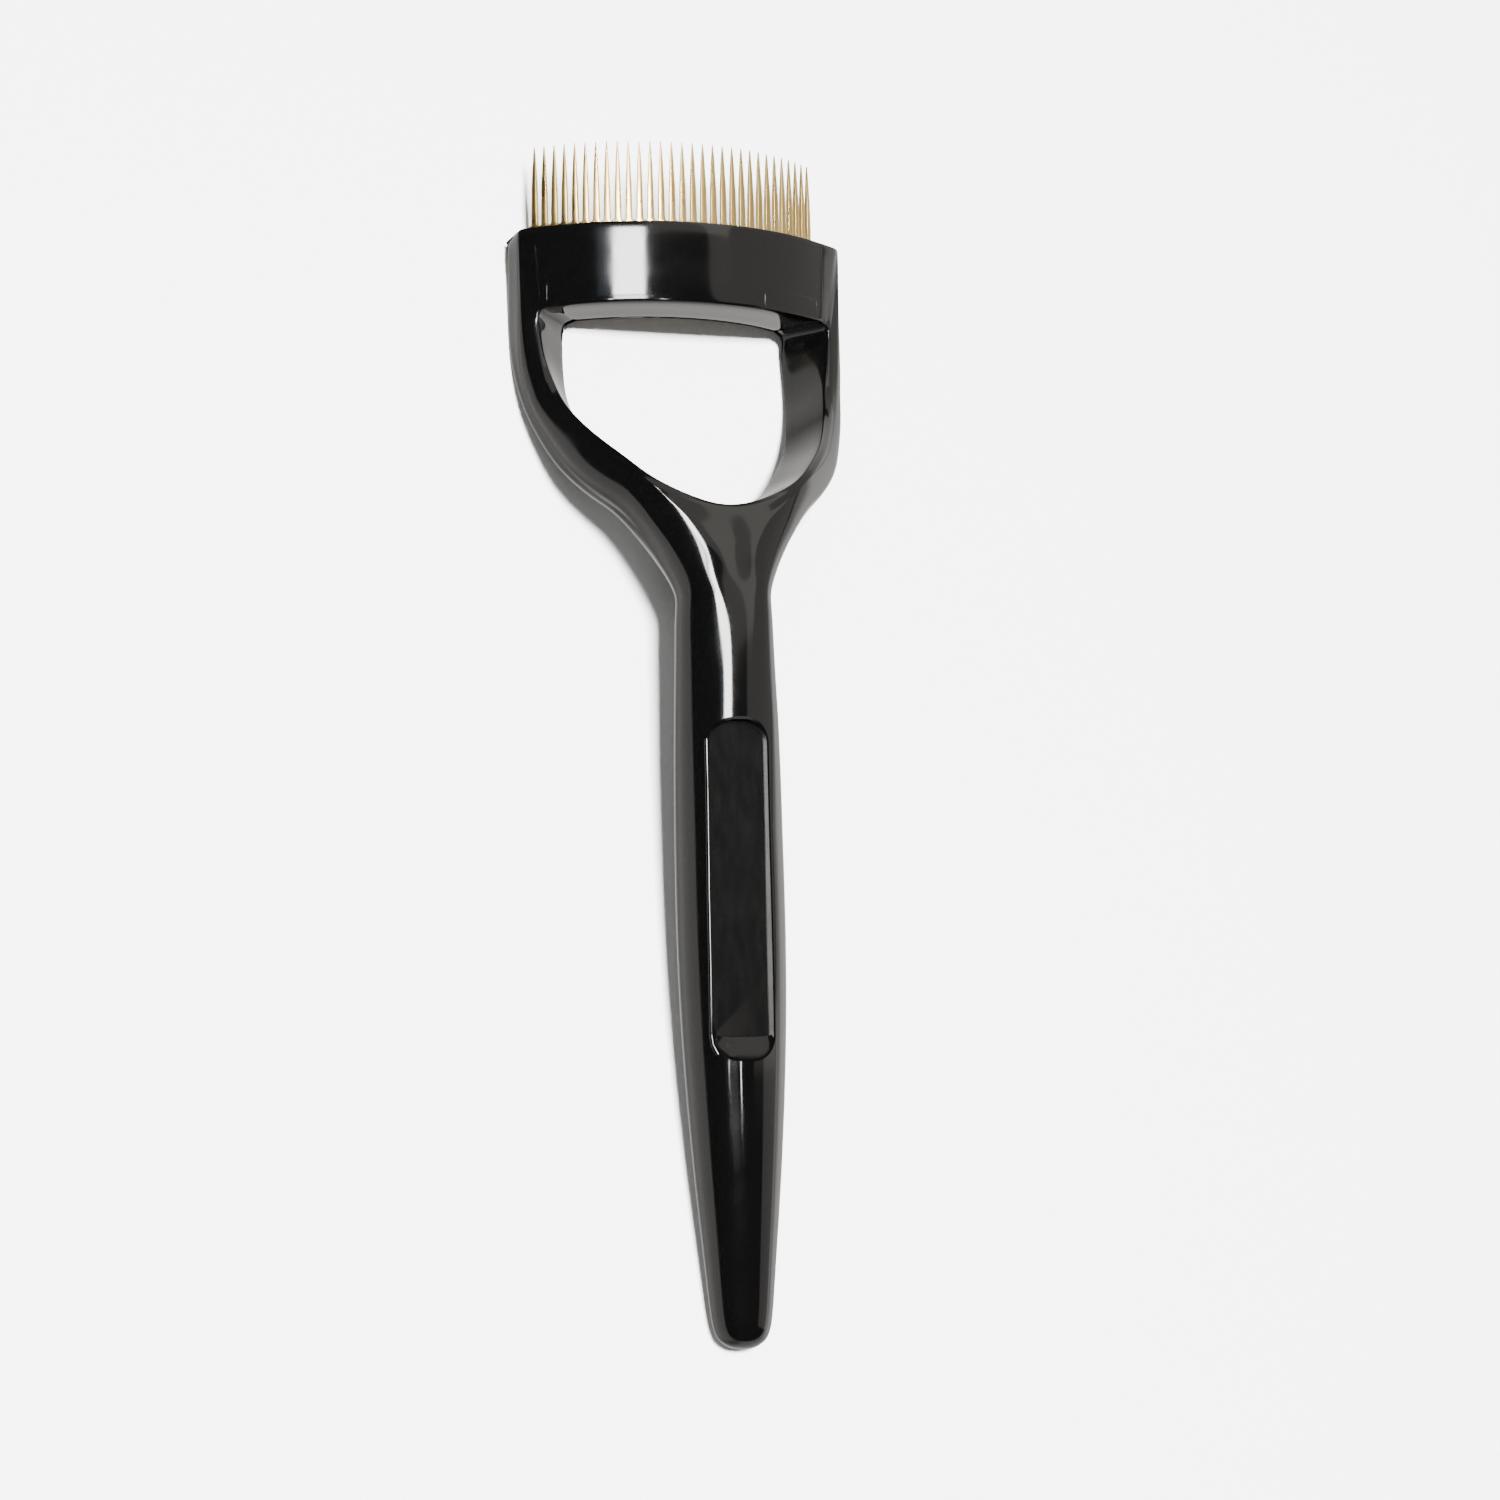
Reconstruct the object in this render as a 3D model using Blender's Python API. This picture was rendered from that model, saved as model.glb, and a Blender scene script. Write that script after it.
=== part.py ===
"""Lash comb: a moulded handle with an open D-shaped head, and a curved metal comb set in the head.

Blender 4.5. Run it with: blender --background --python part.py

The object is designed in a frame of its own, in millimetres: X across the head, Y along the handle
with the tooth tips at the high end and the band's top face at Y = 0, and Z out of the front of the
head. The empty named rest_pose then lays it down as it lies on a table, on the two rear corners of
the head and the end of the handle, with +Z up and the origin under the middle of its box.
"""

import math

import bmesh
import bpy
from mathutils import Euler, Vector

MM = 0.001

# The way it lies on a table.
REST_TILT = 10.0                 # degrees that the handle's line leans, its end down
REST_SHIFT_Y = 46.09             # brings the middle of the box over the origin
REST_LIFT = 8.52                 # brings the lowest points down to the table

# The band is part of a tube about an axis parallel to Y, at X = 0 and Z = BAND_AXIS_Z.
BAND_AXIS_Z = -17.8
BAND_FRONT_R = 21.6
BAND_BACK_R = 16.3
BAND_HEIGHT = 7.55
BAND_DRAFT = 0.25                # how much lower its underside is at the back
BAND_HALF_WIDTH = 15.5
WALL_ANGLE = 40.7                # degrees from the middle of the band to the side walls of the opening

# The comb, whose teeth stand on an arc that passes through the origin.
TOOTH_COUNT = 30
TOOTH_PITCH = 1.0                # measured round the arc
TOOTH_LENGTH = 8.45              # above the band
COMB_ARC_R = 20.2
COMB_THICKNESS = 0.4
GAP_ROOT_HEIGHT = 0.95           # how far the round bottoms of the gaps stand above the band
PLATE_TOP = 0.6                  # above this the plate is drawn tooth by tooth
COMB_THIN_TIP = 0.10             # thickness at the tips
TIP_WIDTH = 0.05
TOOTH_WIDTHS = ((1.15, 0.62), (4.2, 0.52), (5.1, 0.45), (6.35, 0.36), (7.45, 0.23))
TANG_DEPTH = 4.6                 # how far the strip runs down into the band
WINDOWS = ((2, 4), (8, 10), (14, 16), (20, 22), (26, 28))
WINDOW_Y = (-3.2, -1.4)          # the windows, under the teeth counted above, hold the strip in
FIT_GAP = 0.3                    # clear space all round the tang

# The flat for the thumb, sunk in the front of the handle.
RECESS_TOP_Y = -46.7
RECESS_END_Y = -76.1
RECESS_HALF_WIDTH = 2.65
RECESS_FLOOR_Z = (12.95, 13.5)   # at the top and at the end
RECESS_CORNER_R = 2.2
RECESS_RAMP = 1.1                # length of the slope at the end
RECESS_RAMP_RISE = 1.2
RECESS_CUTTER_HEIGHT = 3.0

# Outer side of an arm, going down: y, x of the side, z of its front edge, z of its back edge, and
# the radius that rounds both edges.
ARM_SIDE = (
    (-1.0, 15.5, -2.60, -7.30, 0.55),
    (-8.0, 15.5, -2.40, -7.30, 0.6),
    (-12.0, 15.45, -1.95, -6.50, 0.8),
    (-16.0, 15.0, -0.60, -4.60, 1.0),
    (-20.0, 13.8, 2.50, -2.70, 1.3),
    (-24.0, 11.75, 6.10, -0.30, 1.9),
    (-28.0, 7.9, 9.70, 2.10, 2.6),
    (-30.5, 6.3, 11.2, 3.30, 3.0),
)

# Edge of the opening, going down an arm: y, x and z of the front rim, x and z of the back rim.
ARM_RIM = (
    (-8.6, 14.0, -1.55, 10.65, -5.85),
    (-12.0, 13.65, -0.85, 10.6, -5.40),
    (-14.0, 13.2, -0.05, 10.6, -4.95),
    (-16.0, 12.7, 1.15, 10.4, -4.15),
    (-18.0, 11.95, 2.95, 9.9, -2.70),
    (-20.0, 10.85, 5.30, 9.05, -0.80),
    (-22.0, 9.45, 7.70, 7.85, 1.15),
    (-24.0, 7.55, 9.70, 6.20, 2.95),
    (-26.0, 4.85, 11.00, 4.10, 4.50),
    (-27.35, 0.0, 11.45, 0.0, 5.60),
)

# Handle, going down: y, z of its middle, half width, half depth.
HANDLE = (
    (-34.0, 8.75, 4.60, 4.55),
    (-36.5, 9.05, 4.25, 4.35),
    (-41.0, 9.20, 4.38, 4.40),
    (-48.0, 9.50, 4.62, 4.55),
    (-56.0, 9.70, 4.76, 4.66),
    (-66.0, 10.02, 4.78, 4.70),
    (-76.0, 10.42, 4.46, 4.42),
    (-86.0, 10.82, 3.79, 3.79),
    (-94.0, 11.13, 3.06, 3.06),
    (-98.6, 11.32, 2.58, 2.58),
    (-100.2, 11.38, 1.90, 1.90),
    (-100.9, 11.41, 0.90, 0.90),
)

HANDLE_VALLEYS = (0.75, 0.42, 0.12)   # how far the web's hollow runs on into the handle's front

# Places of the arms' sections: y on the rim of the opening, and y on the outer side.
ARM_STATIONS = (
    (-9.6, -3.5), (-10.8, -7.5), (-12.5, -11.0), (-14.5, -14.5), (-16.7, -17.6), (-18.9, -20.6),
    (-21.1, -23.4), (-23.2, -26.0), (-25.1, -28.6),
)
WEB_HALF_WIDTH = 5.9
WEB_Y = -27.35
WEB_Y_AT_SHOULDER = -25.1
# Two sections of the web: x on the rim, then x, y, front z and back z where the handle starts.
WEB_PLACES = ((2.95, 2.5, -31.3, 12.3, 4.3), (0.0, 0.0, -31.7, 12.15, 4.15))

LOOP = 16                        # points round a section of the ring, and round the handle
RIM_FILLET = 0.55
BACK_RIM_FILLET = 0.35
BAND_TOP_FILLET = 0.45
CORNER_R = 0.75                  # outer corners of the head, seen from the front
CORNER_POWER = 0.5               # 1 makes those corners round, and less makes them squarer
OPENING_CORNER_R = 0.9
FIT_ROUNDS = 4                   # times that the cage is moved to bring the surface to its points


def clear_scene():
    for obj in list(bpy.data.objects):
        bpy.data.objects.remove(obj)


def surface(name, color, roughness, metallic):
    material = bpy.data.materials.new(name)
    material.use_nodes = True
    shader = material.node_tree.nodes["Principled BSDF"]
    shader.inputs["Base Color"].default_value = (*color, 1.0)
    shader.inputs["Roughness"].default_value = roughness
    shader.inputs["Metallic"].default_value = metallic
    return material


def read_rows(rows, y):
    """The row at height y, on a smooth curve through the rows."""
    spots = [row[0] for row in rows]
    y = min(max(y, spots[-1]), spots[0])
    i = max(k for k in range(len(rows) - 1) if y <= spots[k])
    before, low = rows[max(i - 1, 0)], rows[i]
    high, after = rows[i + 1], rows[min(i + 2, len(rows) - 1)]
    span = high[0] - low[0]
    t = (y - low[0]) / span
    values = []
    for a, b, c, d in zip(before[1:], low[1:], high[1:], after[1:]):
        slope_b = (c - a) / (high[0] - before[0]) * span
        slope_c = (d - b) / (after[0] - low[0]) * span
        values.append(
            (2 * t**3 - 3 * t**2 + 1) * b + (t**3 - 2 * t**2 + t) * slope_b
            + (3 * t**2 - 2 * t**3) * c + (t**3 - t**2) * slope_c
        )
    return values


def on_tube(radius, angle, y):
    a = math.radians(angle)
    return Vector((radius * math.sin(a), y, BAND_AXIS_Z + radius * math.cos(a)))


def on_tube_at_x(radius, x, y):
    return Vector((x, y, BAND_AXIS_Z + math.sqrt(radius**2 - x**2)))


def rounded_section(corners, radii):
    """Sixteen points round a four-cornered section: three on each rounded corner, one on each side.

    The corners are the front rim, front outer, back outer and back rim, and point 0 is the first
    point of the front rim's corner, on the wall of the opening.
    """
    points = []
    for i in range(4):
        corner, after, before = corners[i], corners[(i + 1) % 4], corners[i - 1]
        start = corner + (before - corner).normalized() * radii[i]
        end = corner + (after - corner).normalized() * radii[i]
        chord_middle = (start + end) / 2
        bulge = corner.lerp(chord_middle, 0.56)
        next_start = after + (corner - after).normalized() * radii[(i + 1) % 4]
        points += [start, bulge, end, end.lerp(next_start, 0.5)]
    return points


def band_section(angle):
    """A section of the band, square to its curve."""
    corners = [
        on_tube(BAND_FRONT_R, angle, -BAND_HEIGHT), on_tube(BAND_FRONT_R, angle, 0),
        on_tube(BAND_BACK_R, angle, 0), on_tube(BAND_BACK_R, angle, -BAND_HEIGHT - BAND_DRAFT),
    ]
    return rounded_section(corners, (RIM_FILLET, BAND_TOP_FILLET, BAND_TOP_FILLET, BACK_RIM_FILLET))


def corner_sections():
    """Three sections that turn the corner from the band into the arm."""
    sections = []
    for turn in (0, 45, 90):
        a = math.radians(turn)
        # The opening's corner and the outer corner are both arcs about a centre inside the solid.
        wall_x = {r: on_tube(r, WALL_ANGLE, 0).x for r in (BAND_FRONT_R, BAND_BACK_R)}
        corners = []
        for radius in (BAND_FRONT_R, BAND_BACK_R):
            x = wall_x[radius] - OPENING_CORNER_R * (1 - math.sin(a))
            y = -BAND_HEIGHT - OPENING_CORNER_R * (1 - math.cos(a))
            corners.append(on_tube_at_x(radius, x, y - (BAND_DRAFT if radius == BAND_BACK_R else 0)))
        x = BAND_HALF_WIDTH - CORNER_R * (1 - math.sin(a) ** CORNER_POWER)
        y = -CORNER_R * (1 - abs(math.cos(a)) ** CORNER_POWER)
        front = Vector((x, y, ARM_SIDE[0][2] + BAND_HALF_WIDTH - x))
        back = Vector((x, y, ARM_SIDE[0][3]))
        sections.append(rounded_section(
            [corners[0], front, back, corners[1]],
            (RIM_FILLET, BAND_TOP_FILLET, BAND_TOP_FILLET, BACK_RIM_FILLET),
        ))
    return sections


def arm_section(rim_y, side_y):
    """A section of an arm, from a place on the opening's rim to a place on the arm's outer side."""
    rim_x, rim_z, back_x, back_z = read_rows(ARM_RIM, rim_y)
    side_x, front_z, behind_z, radius = read_rows(ARM_SIDE, side_y)
    corners = [
        Vector((rim_x, rim_y, rim_z)), Vector((side_x, side_y, front_z)),
        Vector((side_x, side_y, behind_z)), Vector((back_x, rim_y, back_z)),
    ]
    return rounded_section(corners, (RIM_FILLET + 0.15, radius, radius, BACK_RIM_FILLET))


def web_section(rim_x, far_x, far_y, front_z, back_z):
    """A section through the web, from the rim of the opening to where the handle is drawn out.

    Only the rim's corners are rounded, because the front and the back run on into the handle.
    """
    rim_y = WEB_Y + (WEB_Y_AT_SHOULDER - WEB_Y) * (rim_x / WEB_HALF_WIDTH) ** 2
    _, rim_z, _, rim_back_z = read_rows(ARM_RIM, rim_y)
    front, back = Vector((far_x, far_y, front_z)), Vector((far_x, far_y, back_z))
    corners = [Vector((rim_x, rim_y, rim_z)), front, back, Vector((rim_x * 0.9, rim_y, rim_back_z))]
    points = rounded_section(corners, (RIM_FILLET, RIM_FILLET, RIM_FILLET, RIM_FILLET))
    for step in (1, 2, 3):
        points[2 + step] = points[2].lerp(front, step / 3)
        points[12 - step] = points[12].lerp(back, step / 3)
    return points


def half_ring_sections():
    """Sections round the right half of the head, from the middle of the band to the web."""
    sections = [band_section(angle) for angle in (0, 9, 18, 27, 35)]
    sections += corner_sections()
    sections += [arm_section(rim_y, side_y) for rim_y, side_y in ARM_STATIONS]
    sections += [web_section(*place) for place in WEB_PLACES]
    return sections


def ring_sections():
    """Sections all the way round the head: down the right side, and up the left side."""
    right = half_ring_sections()
    left = [[Vector((-p.x, p.y, p.z)) for p in section] for section in right[-2:0:-1]]
    return right + left


def handle_section(y, middle_z, half_width, half_depth, valley):
    """Points round the handle from its left front corner; valley sinks the middle of its front."""
    points = []
    for k in range(LOOP):
        a = math.tau * (k - 2) / LOOP
        front = max(math.cos(a), 0.0)
        points.append(Vector((
            half_width * math.sin(a), y, middle_z + half_depth * math.cos(a) - valley * front**6
        )))
    return points


def extrude_loop(bm, edges, points, order):
    """Extrudes a closed loop of edges, and puts each new vertex at the point that its number names."""
    made = bmesh.ops.extrude_edge_only(bm, edges=edges)["geom"]
    for vert in (item for item in made if isinstance(item, bmesh.types.BMVert)):
        vert.co = points[vert[order]]
    return [item for item in made if isinstance(item, bmesh.types.BMEdge)
            and len(item.link_faces) == 1]


def limit_point(vert):
    """Where a vertex ends up when its mesh is subdivided for ever."""
    n = len(vert.link_edges)
    near = sum((edge.other_vert(vert).co for edge in vert.link_edges), Vector())
    across = Vector()
    for face in vert.link_faces:
        i = list(face.verts).index(vert)
        across += face.verts[(i + 2) % 4].co
    return (n * n * vert.co + 4 * near + across) / (n * (n + 5))


def fit_cage(bm):
    """Moves the cage out until the smooth surface inside it passes through the designed points."""
    inner = [v for v in bm.verts if all(len(face.verts) == 4 for face in v.link_faces)]
    goals = [v.co.copy() for v in inner]
    for _ in range(FIT_ROUNDS):
        moves = [goal - limit_point(v) for v, goal in zip(inner, goals)]
        for vert, move in zip(inner, moves):
            vert.co += move


def frame_cage():
    """The handle frame as a cage of four-sided faces: a ring of sections, and a handle drawn from it."""
    bm = bmesh.new()
    order = bm.verts.layers.int.new("order")
    station = bm.verts.layers.int.new("station")
    sections = ring_sections()
    bmesh.ops.create_circle(bm, segments=LOOP, radius=1.0)
    bm.verts.ensure_lookup_table()
    for k, vert in enumerate(bm.verts):
        vert[order] = k
        vert.co = sections[0][k]
    edges = list(bm.edges)
    for number, section in enumerate(sections[1:] + sections[:1], start=1):
        edges = extrude_loop(bm, edges, section, order)
        for vert in {v for edge in edges for v in edge.verts}:
            vert[station] = number % len(sections)
    bmesh.ops.remove_doubles(bm, verts=bm.verts, dist=1e-5)

    # The outer faces of the web come away, and the handle is drawn out of the hole.
    middle = len(sections) // 2
    web = range(middle - 2, middle + 3)
    gone = [face for face in bm.faces
            if all(v[station] in web and 5 <= v[order] <= 9 for v in face.verts)]
    bmesh.ops.delete(bm, geom=gone, context="FACES")
    edges = [edge for edge in bm.edges if len(edge.link_faces) == 1]
    for vert in {v for edge in edges for v in edge.verts}:
        across = middle + 2 - vert[station]        # 0 at the left of the web, 4 at its right
        row = vert[order] - 5                      # 0 at the front, 4 at the back
        if row == 0:
            vert[order] = across
        elif row == 4:
            vert[order] = 12 - across
        else:
            vert[order] = 4 + row if across == 4 else LOOP - row
    for number, (y, middle_z, half_width, half_depth) in enumerate(HANDLE):
        valley = HANDLE_VALLEYS[number] if number < len(HANDLE_VALLEYS) else 0.0
        points = handle_section(y, middle_z, half_width, half_depth, valley)
        edges = extrude_loop(bm, edges, points, order)
    bmesh.ops.edgeloop_fill(bm, edges=edges)
    bmesh.ops.recalc_face_normals(bm, faces=bm.faces)
    fit_cage(bm)
    return bm


def finish(bm, name, material, smooth_angle=None):
    """Turns a bmesh in millimetres into an object in metres under rest_pose."""
    bmesh.ops.scale(bm, vec=(MM, MM, MM), verts=bm.verts)
    mesh = bpy.data.meshes.new(name)
    bm.to_mesh(mesh)
    bm.free()
    if smooth_angle is not None:
        mesh.shade_smooth()
        mesh.set_sharp_from_angle(angle=math.radians(smooth_angle))
    obj = bpy.data.objects.new(name, mesh)
    bpy.context.scene.collection.objects.link(obj)
    obj.parent = bpy.data.objects["rest_pose"]
    if material is not None:
        mesh.materials.append(material)
    return obj


def bend(bm):
    """Wraps a flat strip, drawn in X and Y with its thickness in Z, round the comb's arc."""
    for vert in bm.verts:
        a = vert.co.x / COMB_ARC_R
        r = COMB_ARC_R + vert.co.z
        vert.co = Vector((r * math.sin(a), vert.co.y, r * math.cos(a) - COMB_ARC_R))


def thicken(bm, low, high):
    """Gives the flat faces at Z = 0 a back and sides, from low to high in Z."""
    for vert in bm.verts:
        vert.co.z = low
    made = bmesh.ops.extrude_face_region(bm, geom=list(bm.faces), use_keep_orig=True)["geom"]
    for vert in (item for item in made if isinstance(item, bmesh.types.BMVert)):
        vert.co.z = high
    bmesh.ops.recalc_face_normals(bm, faces=bm.faces)


def grid_face(bm, x0, x1, y0, y1):
    bm.faces.new([bm.verts.new((x, y, 0)) for x, y in ((x0, y0), (x1, y0), (x1, y1), (x0, y1))])


def in_window(x):
    cell = x / TOOTH_PITCH + TOOTH_COUNT / 2
    return any(first < cell < last for first, last in WINDOWS)


def add_tooth(bm, x):
    """One tooth and the plate under it, one pitch wide, drawn flat about its own middle."""
    half_gap = (TOOTH_PITCH - TOOTH_WIDTHS[0][1]) / 2
    root_y = TOOTH_WIDTHS[0][0]
    levels = (-TANG_DEPTH, *WINDOW_Y, PLATE_TOP)
    # Half of the round bottom of the gap, from its lowest point to the tooth's side.
    arc = [(TOOTH_PITCH / 2 - half_gap * math.sin(a), root_y - (root_y - GAP_ROOT_HEIGHT) * math.cos(a))
           for a in (0.0, math.pi / 4, math.pi / 2)]
    for side in (-1, 1):
        for y0, y1 in zip(levels, levels[1:]):
            if y0 == WINDOW_Y[0] and in_window(x):
                continue
            grid_face(bm, x, x + side * TOOTH_PITCH / 2, y0, y1)
        outline = [(0, PLATE_TOP), (TOOTH_PITCH / 2, PLATE_TOP)] + arc + [(0, root_y)]
        bm.faces.new([bm.verts.new((x + side * px, py, 0)) for px, py in outline])
        for (y0, w0), (y1, w1) in zip(TOOTH_WIDTHS, TOOTH_WIDTHS[1:] + ((TOOTH_LENGTH, TIP_WIDTH),)):
            quad = [(0, y0), (w0 / 2, y0), (w1 / 2, y1), (0, y1)]
            bm.faces.new([bm.verts.new((x + side * px, py, 0)) for px, py in quad])


def comb_strip():
    """The comb: teeth drawn flat side by side, thickened, thinned to the tips, and bent."""
    bm = bmesh.new()
    for number in range(TOOTH_COUNT):
        add_tooth(bm, (number + 0.5 - TOOTH_COUNT / 2) * TOOTH_PITCH)
    bmesh.ops.remove_doubles(bm, verts=bm.verts, dist=1e-4)
    bmesh.ops.recalc_face_normals(bm, faces=bm.faces)
    thicken(bm, -COMB_THICKNESS / 2, COMB_THICKNESS / 2)
    for vert in bm.verts:
        taper = max(0.0, (vert.co.y - TOOTH_WIDTHS[1][0]) / (TOOTH_LENGTH - TOOTH_WIDTHS[1][0]))
        vert.co.z *= 1 - taper * (1 - COMB_THIN_TIP / COMB_THICKNESS)
    bend(bm)
    return finish(bm, "comb_strip", surface("comb_gold", (0.83, 0.62, 0.33), 0.25, 1.0), 30)


def cutter(bm, name):
    tool = finish(bm, name, None)
    tool.hide_render = True
    tool.display_type = "WIRE"
    return tool


def tang_slot():
    """The pocket for the tang: its shape and FIT_GAP more, so that posts stay in its windows."""
    bm = bmesh.new()
    end = TOOTH_COUNT / 2 * TOOTH_PITCH + FIT_GAP
    breaks = [-end, end] + [(cell - TOOTH_COUNT / 2) * TOOTH_PITCH for cell in range(1, TOOTH_COUNT)]
    posts = [((first - TOOTH_COUNT / 2) * TOOTH_PITCH + FIT_GAP,
              (last - TOOTH_COUNT / 2) * TOOTH_PITCH - FIT_GAP) for first, last in WINDOWS]
    breaks = sorted(breaks + [x for post in posts for x in post])
    rows = [-TANG_DEPTH - FIT_GAP, WINDOW_Y[0] + FIT_GAP, WINDOW_Y[1] - FIT_GAP, 1.5]
    for x0, x1 in zip(breaks, breaks[1:]):
        for y0, y1 in zip(rows, rows[1:]):
            middle = (x0 + x1) / 2
            if y0 == rows[1] and any(low < middle < high for low, high in posts):
                continue
            grid_face(bm, x0, x1, y0, y1)
    bmesh.ops.remove_doubles(bm, verts=bm.verts, dist=1e-4)
    bmesh.ops.recalc_face_normals(bm, faces=bm.faces)
    half = COMB_THICKNESS / 2 + FIT_GAP
    thicken(bm, -half, half)
    bend(bm)
    return cutter(bm, "tang_slot")


def thumb_recess():
    """The cutter of the thumb flat: a long round-cornered outline with a flat floor and a ramp."""
    bm = bmesh.new()
    bmesh.ops.create_circle(bm, cap_ends=True, segments=40, radius=RECESS_CORNER_R)
    half_length = (RECESS_TOP_Y - RECESS_END_Y) / 2 - RECESS_CORNER_R
    half_width = RECESS_HALF_WIDTH - RECESS_CORNER_R
    middle_y = (RECESS_TOP_Y + RECESS_END_Y) / 2
    slope = (RECESS_FLOOR_Z[1] - RECESS_FLOOR_Z[0]) / (RECESS_END_Y - RECESS_TOP_Y)
    for vert in bm.verts:
        vert.co.x += math.copysign(half_width, vert.co.x)
        vert.co.y += math.copysign(half_length, vert.co.y) + middle_y
        vert.co.z = RECESS_FLOOR_Z[0] + slope * (vert.co.y - RECESS_TOP_Y)
    ramp_start = RECESS_END_Y + RECESS_CORNER_R
    floor = list(bm.verts)
    face = next(iter(bm.faces))
    for rise in (RECESS_RAMP_RISE, RECESS_CUTTER_HEIGHT):
        made = bmesh.ops.extrude_face_region(bm, geom=[face], use_keep_orig=True)["geom"]
        if rise == RECESS_CUTTER_HEIGHT:
            bmesh.ops.delete(bm, geom=[face], context="FACES_ONLY")
        face = next(item for item in made if isinstance(item, bmesh.types.BMFace))
        bmesh.ops.translate(bm, verts=face.verts, vec=(0, 0, rise))
    for vert in floor:
        vert.co.y += RECESS_RAMP * max(0.0, (ramp_start - vert.co.y) / RECESS_CORNER_R)
        vert.co.z = RECESS_FLOOR_Z[0] + slope * (vert.co.y - RECESS_TOP_Y)
    bmesh.ops.recalc_face_normals(bm, faces=bm.faces)
    return cutter(bm, "thumb_recess_cutter")


def handle_frame(cutters):
    frame = finish(frame_cage(), "handle_frame", surface("frame_black", (0.01, 0.01, 0.01), 0.12, 0.0))
    frame.data.shade_smooth()
    smooth = frame.modifiers.new("smooth", "SUBSURF")
    smooth.levels = smooth.render_levels = 1
    for tool in cutters:
        cut = frame.modifiers.new(tool.name, "BOOLEAN")
        cut.operation = "DIFFERENCE"
        cut.object = tool
        cut.solver = "MANIFOLD"   # EXACT drops faces beside the long narrow slot
    return frame


def main():
    clear_scene()
    rest_pose = bpy.data.objects.new("rest_pose", None)
    rest_pose.rotation_euler = Euler((math.radians(REST_TILT), 0, 0))
    rest_pose.location = Vector((0, REST_SHIFT_Y, REST_LIFT)) * MM
    bpy.context.scene.collection.objects.link(rest_pose)
    handle_frame([tang_slot(), thumb_recess()])
    comb_strip()


main()
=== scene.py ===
# %% [markdown]
# # A lash comb
#
# This lesson makes the fine model of a lash comb: a slim glossy black handle that widens into an
# open D-shaped head, with a curved row of fine gold teeth set in the head's top band. A plain
# working model of it has been packed already. It comes in first, because every new piece has to
# fit inside its box and ride on its body.

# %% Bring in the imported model
import math

import bmesh
import bpy
from mathutils import Matrix, Vector
from mathutils.bvhtree import BVHTree


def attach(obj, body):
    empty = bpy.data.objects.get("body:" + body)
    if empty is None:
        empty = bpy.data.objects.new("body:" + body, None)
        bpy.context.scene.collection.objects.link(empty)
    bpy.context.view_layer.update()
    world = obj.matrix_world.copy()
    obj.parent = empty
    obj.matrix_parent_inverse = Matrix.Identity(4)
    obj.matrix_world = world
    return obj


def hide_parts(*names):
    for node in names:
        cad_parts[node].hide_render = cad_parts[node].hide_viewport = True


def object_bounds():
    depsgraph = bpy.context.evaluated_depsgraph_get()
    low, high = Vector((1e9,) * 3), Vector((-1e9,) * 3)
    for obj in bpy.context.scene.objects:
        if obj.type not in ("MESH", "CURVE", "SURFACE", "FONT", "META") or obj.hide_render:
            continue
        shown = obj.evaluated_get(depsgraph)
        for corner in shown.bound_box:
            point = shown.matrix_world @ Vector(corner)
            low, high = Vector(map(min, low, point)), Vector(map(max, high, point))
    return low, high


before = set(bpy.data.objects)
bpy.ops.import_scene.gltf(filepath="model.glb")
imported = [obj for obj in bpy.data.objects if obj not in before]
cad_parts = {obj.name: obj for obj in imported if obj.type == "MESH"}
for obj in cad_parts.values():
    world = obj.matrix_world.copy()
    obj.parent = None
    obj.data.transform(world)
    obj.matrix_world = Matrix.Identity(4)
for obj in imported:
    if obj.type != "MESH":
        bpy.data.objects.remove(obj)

cad_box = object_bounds()
print("packed nodes:", sorted(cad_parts))
print("packed box in mm:", [[round(c * 1000, 2) for c in corner] for corner in cad_box])

# %% [markdown]
# ## A frame to design in
#
# The comb lies on a table on the two rear corners of its head and the end of its handle, so it
# leans by ten degrees. Nobody would want to draw it leaning. It is drawn upright instead, in
# millimetres: X across the head, Y up the handle to the teeth with the band's top face at zero,
# and Z out of the front. One matrix then lays each finished mesh down, and the object itself
# stays unturned, which keeps patterns on Object coordinates where they belong.

# %% The matrix that lays the comb down
REST_TILT = 10.0        # degrees
REST_SHIFT_Y = 46.09
REST_LIFT = 8.52

lay_down = (
    Matrix.Scale(0.001, 4)
    @ Matrix.Translation((0, REST_SHIFT_Y, REST_LIFT))
    @ Matrix.Rotation(math.radians(REST_TILT), 4, "X")
)
print("middle of the band's top face lands at", tuple(round(c, 4) for c in lay_down @ Vector((0, 0, 0))))


# %% Turn a drawing into a finished piece
def finish_piece(bm, name, materials, sharp_angle):
    """Lays a bmesh in millimetres down as an object of its own that rides on the comb's body."""
    bm.transform(lay_down)
    mesh = bpy.data.meshes.new(name)
    bm.to_mesh(mesh)
    bm.free()
    for material in materials:
        mesh.materials.append(material)
    mesh.shade_smooth()
    mesh.set_sharp_from_angle(angle=math.radians(sharp_angle))
    piece = bpy.data.objects.new(name, mesh)
    bpy.context.scene.collection.objects.link(piece)
    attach(piece, "root")
    print(f"{name}: {len(mesh.polygons)} faces")
    return piece


# %% [markdown]
# ## Glossy black plastic
#
# The handle is moulded in a polished steel tool, so it is almost a black mirror: everything it
# shows is a reflection. A real moulding is not perfect, though. It sinks a little as it cools,
# which bends the edges of the reflections, and handling leaves hairlines and a trace of haze. One
# noise drives the haze and two drive a very weak bump: a broad one for the sink, and one that is
# stretched along the handle for the hairlines.

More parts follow.
